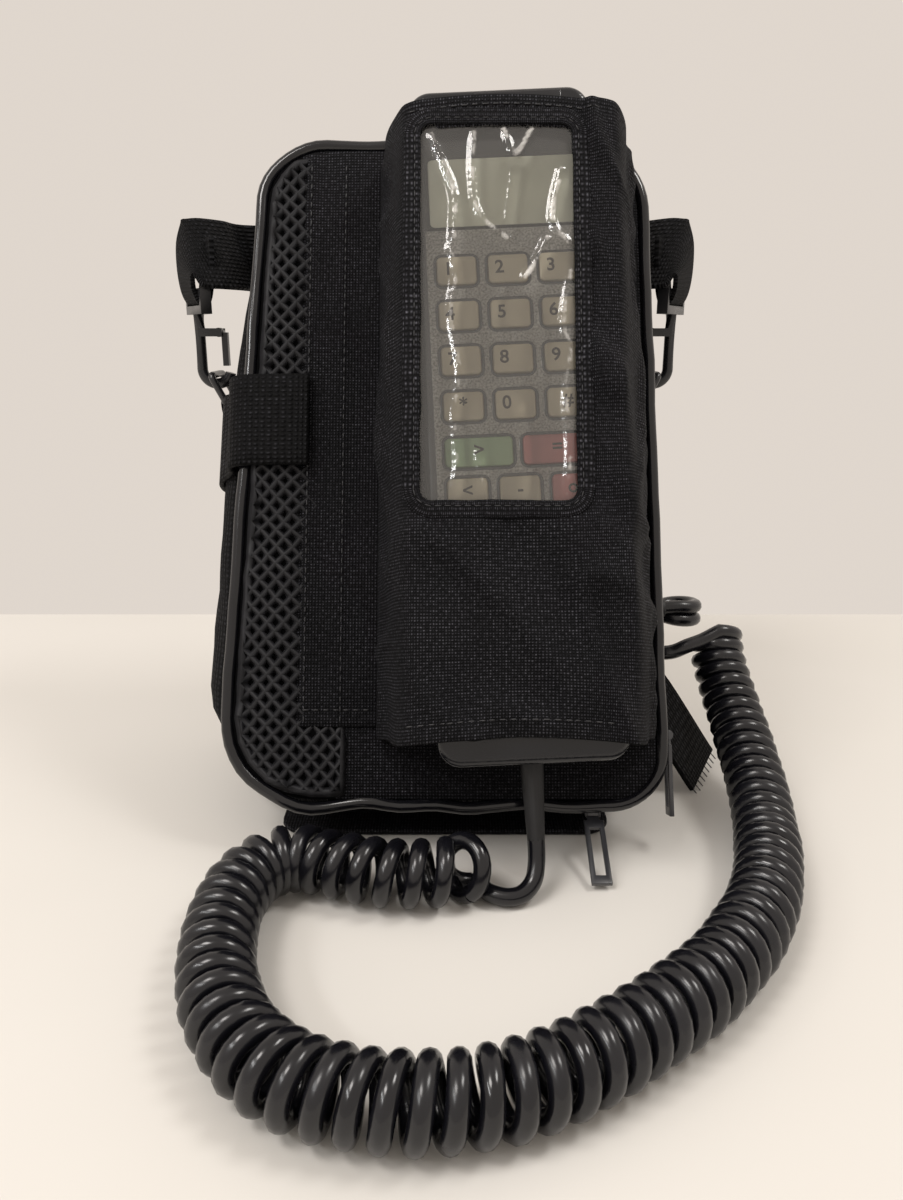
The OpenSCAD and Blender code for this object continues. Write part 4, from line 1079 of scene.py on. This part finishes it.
def hook_point(side, x, y, z, turn=0.0):
    """A point of one snap hook's frame, in the row frame. side is -1 left, 1 right. The
    slotted end of a hook swivels on its stem, and turn is how far."""
    if turn:
        off, x, y = x + 5.5, -5.5, y
        x, y = x + off * math.cos(turn) + y * math.sin(turn), y * math.cos(turn) - off * math.sin(turn)
    return Vector((HOOK_X[side] - side * x, HOOK_Y + y, HOOK_Z + z))


def loop_stations(side):
    """From the end behind the slot, round the bar, up the front, over the fold and back."""
    pairs = [((-12.5, 4.6, 47), (3.5, 4.6, 47)), ((-13, 4.2, 38), (4, 4.2, 38)),
             ((-13, 3.4, 30), (4, 3.4, 30)), ((-13, 1.8, 24.4), (4, 1.8, 24.4)),
             ((-13, -1.2, 24.2), (4, -1.2, 24.2)),
             ((-13.6, -3.2, 28), (4.6, -3.2, 28)), ((-15.5, -3.8, 36), (6.5, -3.8, 33)),
             ((-16.4, -3.2, 46), (8, -2.6, 32.5)), ((-16.4, -1.0, 53.2), (9.6, -0.6, 29.6)),
             ((-13.5, 1.6, 54.2), (10.6, 1.2, 29.2)), ((-7, 4, 54), (12, 5, 29)), ((0, 13, 54), (12.4, 16, 29)),
             ((8, 24, 54), (13.5, 25.5, 29))]
    turned = [TURN] * 9 + [TURN * 0.7, TURN * 0.4, TURN * 0.15, 0.0]
    return [tuple(hook_point(side, *p, turn) for p in pair) for pair, turn in zip(pairs, turned)]


run = [((x, 78.8, 203.5), (x, 78.8, 178.5)) for x in (-52, -30, -10, 10, 28, 46)]
stations = loop_stations(-1) + run + loop_stations(1)[::-1]
strap_piece, strap_run = strap("carrying_strap", stations, replaces=["shoulder_strap"])

bundle = []
for k in range(4):
    y = 5.0 + 3.1 * k
    for z in ((66, 90, 130, 170, 184) if k % 2 == 0 else (184, 170, 130, 90, 66)):
        bundle.append(((-12.5, y + 0.25 * math.sin(z / 9 + k), z), (12.5, y + 0.25 * math.cos(z / 8 + k), z)))
    low = k % 2 == 1
    bundle.append(((-12.5, y + 1.5, 62 if low else 186.5), (12.5, y + 1.5, 62 if low else 186.5)))
bundle.pop()
bundle_piece, bundle_run = strap("strap_bundle", bundle, per=4, place=BACK)
bm = bmesh.new()
for z in (88, 160):
    box(bm, (0, 9.7, z), (29, 14.5, 12))
round_edges(bm, bm.edges[:], 1.6, 3)
flat_cloth(bm)
keep("bundle_ties", bm, BACK, zip_tape, "root", "webbing")
print("strap in mm:", round(strap_run), "and in the bundle", round(bundle_run))

# %% Ring tabs and the cut tail
for side, word in SIDES:
    path = [(6.8, -19), (6.6, -15), (6.2, -12), (5.2, -10.2), (3.6, -10.2), (2.7, -12), (2.8, -15), (3.6, -19)]
    pairs = [(hook_point(side, x, -6.5, z), hook_point(side, x, 6.5, z)) for x, z in path]
    strap("ring_tab_" + word, pairs, per=3, thickness=1.0, width=13,
          replaces=["ring_tabs"] if side < 0 else ())

tail_middle = ((71, 3, 41), (76, 3, 35.5), (82, 3.6, 27), (88.5, 3.2, 17), (94, 2.4, 8.5), (96.8, 2, 4.4))
tail_half = Vector((0.50, 0.82, 0.28)).normalized() * 12.3
tail_pairs = [(Vector(p) - tail_half, Vector(p) + tail_half) for p in tail_middle]
tail_strip, tail_run = strap("webbing_tail_cut", tail_pairs, replaces=["webbing_tail"])

# Frayed filling threads where the webbing was cut
for k in range(9):
    a, b = tail_pairs[-1]
    p = a.lerp(b, 0.05 + 0.11 * k)
    drift = Vector((noise.noise(Vector((k, 3, 1))) * 2.5, noise.noise(Vector((k, 7, 2))) * 2.5, 0))
    line = smooth_line([p, p + Vector((1.2, 0, -1.4)) + drift * 0.4, p + Vector((2.2, 0, -2.6)) + drift], 0.6)
    stray = as_mesh(tube_curve(f"frayed_thread_{k}", line, 0.22, thread, sides=1))
    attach(stray, "root")
print("tail in mm:", round(tail_run))

# %% [markdown]
# ## Moulded and cast parts
# Hooks, gates, sliders, pulls and shells already have the right solids in the CAD, but
# with knife-sharp edges. A moulded edge always has a small radius that catches the light,
# so each part is copied, its flat faces are joined again, and a bevel rounds every edge.

# %% Copies with rounded edges
def softened(node, name, material, body, slot, width, place=ROW, shape=None, segments=3, angle=34):
    """A copy of one CAD solid with rounded edges. shape(bm) may change it in its own frame, in mm."""
    source = bpy.data.objects[node]
    bm = bmesh.new()
    bm.from_mesh(source.data)
    bmesh.ops.transform(bm, matrix=place.inverted() @ TO_METRES.inverted() @ source.matrix_world,
                        verts=bm.verts)
    bmesh.ops.remove_doubles(bm, verts=bm.verts, dist=0.004)
    bmesh.ops.dissolve_limit(bm, angle_limit=math.radians(1.5), verts=bm.verts, edges=bm.edges)
    if shape is not None:
        shape(bm)
    piece = keep(name, bm, place, material, body, slot, [node])
    modifier(piece, "BEVEL", width=width * MM, segments=segments, limit_method="ANGLE",
             angle_limit=math.radians(angle), harden_normals=True)
    return piece


def swivel(bm):
    """Turns the slotted end of a hook on its stem."""
    top = [v for v in bm.verts if v.co.z > 19.9]
    bmesh.ops.rotate(bm, verts=top, cent=(-5.5, 0, 0), matrix=Matrix.Rotation(-TURN, 3, "Z"))


HOOKS = {word: Matrix.Translation((HOOK_X[side], HOOK_Y, HOOK_Z)) @ Matrix.Diagonal((-side, 1, 1, 1))
         for side, word in SIDES}
for word in ("left", "right"):
    softened("snap_hook_" + word, f"snap_hook_{word}_bar", hook_acetal, "root", "hook_plastic", 0.7,
             HOOKS[word], swivel)
    softened("hook_gate_" + word, f"hook_gate_{word}_tongue", hook_acetal, "hook_gate_" + word,
             "hook_plastic", 0.5)
for word in ("side", "bottom"):
    softened("zip_slider_" + word, f"zip_slider_{word}_body", zip_zinc, "zip_slider_" + word,
             "zip_metal", 0.25)
    softened("zip_pull_" + word, f"zip_pull_{word}_tab", zip_zinc, "zip_pull_" + word, "zip_metal", 0.4)
softened("cord_grommet", "cord_grommet_sleeve", relief_rubber, "root", "relief_rubber", 0.6)


def slimmer(bm):
    """Draws the relief in towards its own axis: the moulding hugs the cord."""
    for vert in bm.verts:
        vert.co.x *= 0.82
        vert.co.y = -14 + (vert.co.y + 14) * 0.82


softened("strain_relief", "strain_relief_sleeve", relief_rubber, "handset", "relief_rubber", 0.6,
         HANDSET, slimmer)

# Each wire ring is one closed bend of wire through the hook and the tab
for side, word in SIDES:
    corners = [(0, -7.6, -2), (0, 7.6, -2), (0.4, 9, -3.4), (4.1, 9, -10.6), (4.5, 7.6, -12),
               (4.5, -7.6, -12), (4.1, -9, -10.6), (0.4, -9, -3.4)]
    loop = smooth_line([hook_point(side, *p) for p in corners + corners[:1]], 0.8)[:-1]
    ring = as_mesh(tube_curve("wire_ring_" + word, loop, 1.3, ring_steel, closed=True, sides=3))
    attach(ring, "root")
    if side < 0:
        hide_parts("d_rings")
print("rounded copies and wire rings made")

# %% [markdown]
# ## Handset
# The case is two black ABS shells, split half-way round. The front has a field of sprayed
# grey paint with coarse specks from below the display down, and a polished dark surround
# above. Both are one moulding, so one finish changes at the field's edge, which it finds
# from a map of the face in millimetres.

# %% Face finish
handset_face, tree, surface = new_material("handset_face_paint", {"IOR": 1.52})
face_map = add(tree, "UVMap", {"uv_map": "cloth"}).outputs["UV"]
split = add(tree, "SeparateXYZ", inputs={"Vector": face_map})
wide = add(tree, "Math", {"operation": "ABSOLUTE"}, {0: split.outputs["X"]})
inside = add(tree, "Math", {"operation": "LESS_THAN"}, {0: wide.outputs[0], 1: 24.6})
below = add(tree, "Math", {"operation": "LESS_THAN"}, {0: split.outputs["Y"], 1: 162.0})
above = add(tree, "Math", {"operation": "GREATER_THAN"}, {0: split.outputs["Y"], 1: 14.0})
field = add(tree, "Math", {"operation": "MULTIPLY"}, {0: inside.outputs[0], 1: below.outputs[0]})
field = add(tree, "Math", {"operation": "MULTIPLY"}, {0: field.outputs[0], 1: above.outputs[0]})
specks = add(tree, "TexNoise", inputs={"Vector": face_map, "Scale": 1.5, "Detail": 3.0})
ramp = add(tree, "MapRange", inputs={"Value": specks.outputs["Fac"], "From Min": 0.34, "From Max": 0.68})
paint = add(tree, "Mix", {"data_type": "RGBA"},
            {0: ramp.outputs[0], 6: linear("#6c6967"), 7: linear("#aeaaa4")})
tone = add(tree, "Mix", {"data_type": "RGBA"},
           {0: field.outputs[0], 6: linear("#0b0c11"), 7: paint.outputs[2]})
tree.links.new(tone.outputs[2], surface.inputs["Base Color"])
rough = add(tree, "Mix", {"data_type": "FLOAT"}, {0: field.outputs[0], 2: 0.2, 3: 0.55})
tree.links.new(rough.outputs[0], surface.inputs["Roughness"])
bump = add(tree, "Bump", inputs={"Height": specks.outputs["Fac"], "Strength": 0.35, "Distance": 0.0002})
tree.links.new(bump.outputs["Normal"], surface.inputs["Normal"])


def rounded_rim(rim_y, radius):
    """A change that rounds a shell's outer rim at one depth."""
    def shape(bm):
        rim = [e for e in bm.edges if all(abs(v.co.y - rim_y) < 0.02 for v in e.verts)
               and all(abs(v.co.x) > 28.1 or v.co.z < 0.15 or v.co.z > 207.85 or
                       (abs(v.co.x) > 21.2 and (v.co.z < 7.1 or v.co.z > 200.9)
                        and abs(math.hypot(abs(v.co.x) - 21.25, max(7 - v.co.z, v.co.z - 201)) - 7) < 0.15)
                       for v in e.verts)]
        round_edges(bm, rim, radius, 5, clamp_overlap=True)
        cloth = bm.loops.layers.uv.new("cloth")
        for face in bm.faces:
            for loop in face.loops:
                loop[cloth].uv = (loop.vert.co.x, loop.vert.co.z)
    return shape


softened("front_shell", "handset_front", handset_face, "handset", "radio_case", 0.3, HANDSET,
         rounded_rim(-28, 2.4), segments=2)
softened("rear_shell", "handset_back", case_abs, "handset", "radio_case", 0.3, HANDSET,
         rounded_rim(0, 4.0), segments=2)
softened("display_lens", "display_cover", lcd_glass, "handset", "lens_acrylic", 0.3, HANDSET)

# A plain name plate that stands just proud at the top of the case, left blank
bm = bmesh.new()
box(bm, (6, -27.9, 204.0), (27, 0.8, 4.4))
round_edges(bm, bm.edges[:], 0.3, 2)
keep("blank_name_plate", bm, HANDSET, bezel_abs, "handset", "radio_case")
# The split line: a thin dark band that stands 0.2 mm proud of the case all round
bm = bmesh.new()
box(bm, (0, -14, 104), (56.9, 0.5, 208.4))
round_edges(bm, [e for e in bm.edges if abs(e.verts[0].co.y - e.verts[1].co.y) > 0.3], 7, 8)
keep("split_line_bead", bm, HANDSET, bezel_abs, "handset", "radio_case")
print("case shells, display cover and name plate made")

# %% [markdown]
# ## Keys
# The number keys are beige caps with their digit printed dark on the left. Send is green,
# end and power are red. Words on the keys are replaced with plain marks.

# %% Key caps and their marks
PITCH_X, PITCH_Z, TOP_ROW_Z = 15.6, 14.1, 148.9
NAMES = ("1", "2", "3", "4", "5", "6", "7", "8", "9", "star", "0", "hash")
KEYS = [(name, (i % 3 - 1) * PITCH_X, TOP_ROW_Z - i // 3 * PITCH_Z, mark)
        for i, (name, mark) in enumerate(zip(NAMES, "123456789*0#"))]
KEYS += [("send", -11.65, 92.5, ">"), ("end", 11.65, 92.5, "="), ("recall", -PITCH_X, 80.3, "<"),
         ("clear", 0, 80.3, "-"), ("power", PITCH_X, 80.3, "o")]
TOP_Y = -28.8
# Painted shade: a dark rim lies on the face round each key, where the key's well would be in shade
bm = bmesh.new()
for name, x, z, _ in KEYS:
    w, h = (10.15 if name in ("send", "end") else 6.0), 4.4
    corners = ((x - w, z - h, 1.6), (x + w, z - h, 1.6), (x + w, z + h, 1.6), (x - w, z + h, 1.6))
    rings = [[bm.verts.new(p + Vector((0, y, 0))) for p, _ in outline(corners, inset, arc=4, straight=2)]
             for inset, y in ((-1.05, -28.02), (-0.8, -28.12), (-0.25, -28.03))]
    for one, two in zip(rings, rings[1:]):
        for k in range(len(one)):
            bm.faces.new((one[k - 1], one[k], two[k], two[k - 1]))
bmesh.ops.recalc_face_normals(bm, faces=bm.faces)
bm.normal_update()
if sum(face.normal.y for face in bm.faces) > 0:
    bmesh.ops.reverse_faces(bm, faces=bm.faces)
keep("key_rim_painted_shade", bm, HANDSET, bezel_abs, "handset", "face_grey")
cap_finish = {"send": key_green, "end": key_red, "power": key_red}
cap_slot = {"send": "key_green", "end": "key_red", "power": "key_red"}
for name, x, z, mark in KEYS:
    body = "key_" + name
    softened(body, body + "_cap", cap_finish.get(name, key_plastic), body, cap_slot.get(name, "key_beige"),
             0.55, HANDSET)
    text = bpy.data.curves.new(body + "_mark", "FONT")
    text.body = mark
    text.size = 5.6
    text.offset = 0.10
    text.align_x = "CENTER"
    text.align_y = "CENTER"
    holder = bpy.data.objects.new(body + "_mark", text)
    bpy.context.scene.collection.objects.link(holder)
    mesh = bpy.data.meshes.new_from_object(holder)
    bpy.data.objects.remove(holder)
    bpy.data.curves.remove(text)
    left = 2.6 if len(name) == 1 else 0.0
    bm = bmesh.new()
    bm.from_mesh(mesh)
    bpy.data.meshes.remove(mesh)
    bmesh.ops.transform(bm, matrix=Matrix.Translation((x - left, TOP_Y - 0.04, z + 0.4))
                        @ Matrix.Rotation(math.pi / 2, 4, "X"), verts=bm.verts)
    made = bmesh.ops.extrude_face_region(bm, geom=bm.faces[:])
    bmesh.ops.translate(bm, verts=[v for v in made["geom"] if isinstance(v, bmesh.types.BMVert)],
                        vec=(0, 0.08, 0))
    bmesh.ops.recalc_face_normals(bm, faces=bm.faces)
    keep(body + "_ink", bm, HANDSET, key_ink, body, cap_slot.get(name, "key_beige"), smooth=False)
print("keys:", len(KEYS))

# %% [markdown]
# ## Parts inside
# The radio, its battery and the handset's insides don't show while the bag is zipped. They
# keep their CAD shape and get real finishes, for the moment when the cover is opened.

# %% Finishes for the hidden parts
for node, finish in {"transceiver": radio_paint, "battery_pack": battery_abs, "keypad_mat": mat_silicone,
                     "circuit_board": board_resist, "earpiece": sound_felt, "microphone": sound_felt,
                     "case_screws": screw_steel, "lcd_module": lcd_glass}.items():
    part = bpy.data.objects[node]
    part.data.materials.clear()
    part.data.materials.append(finish)
print("hidden parts finished")
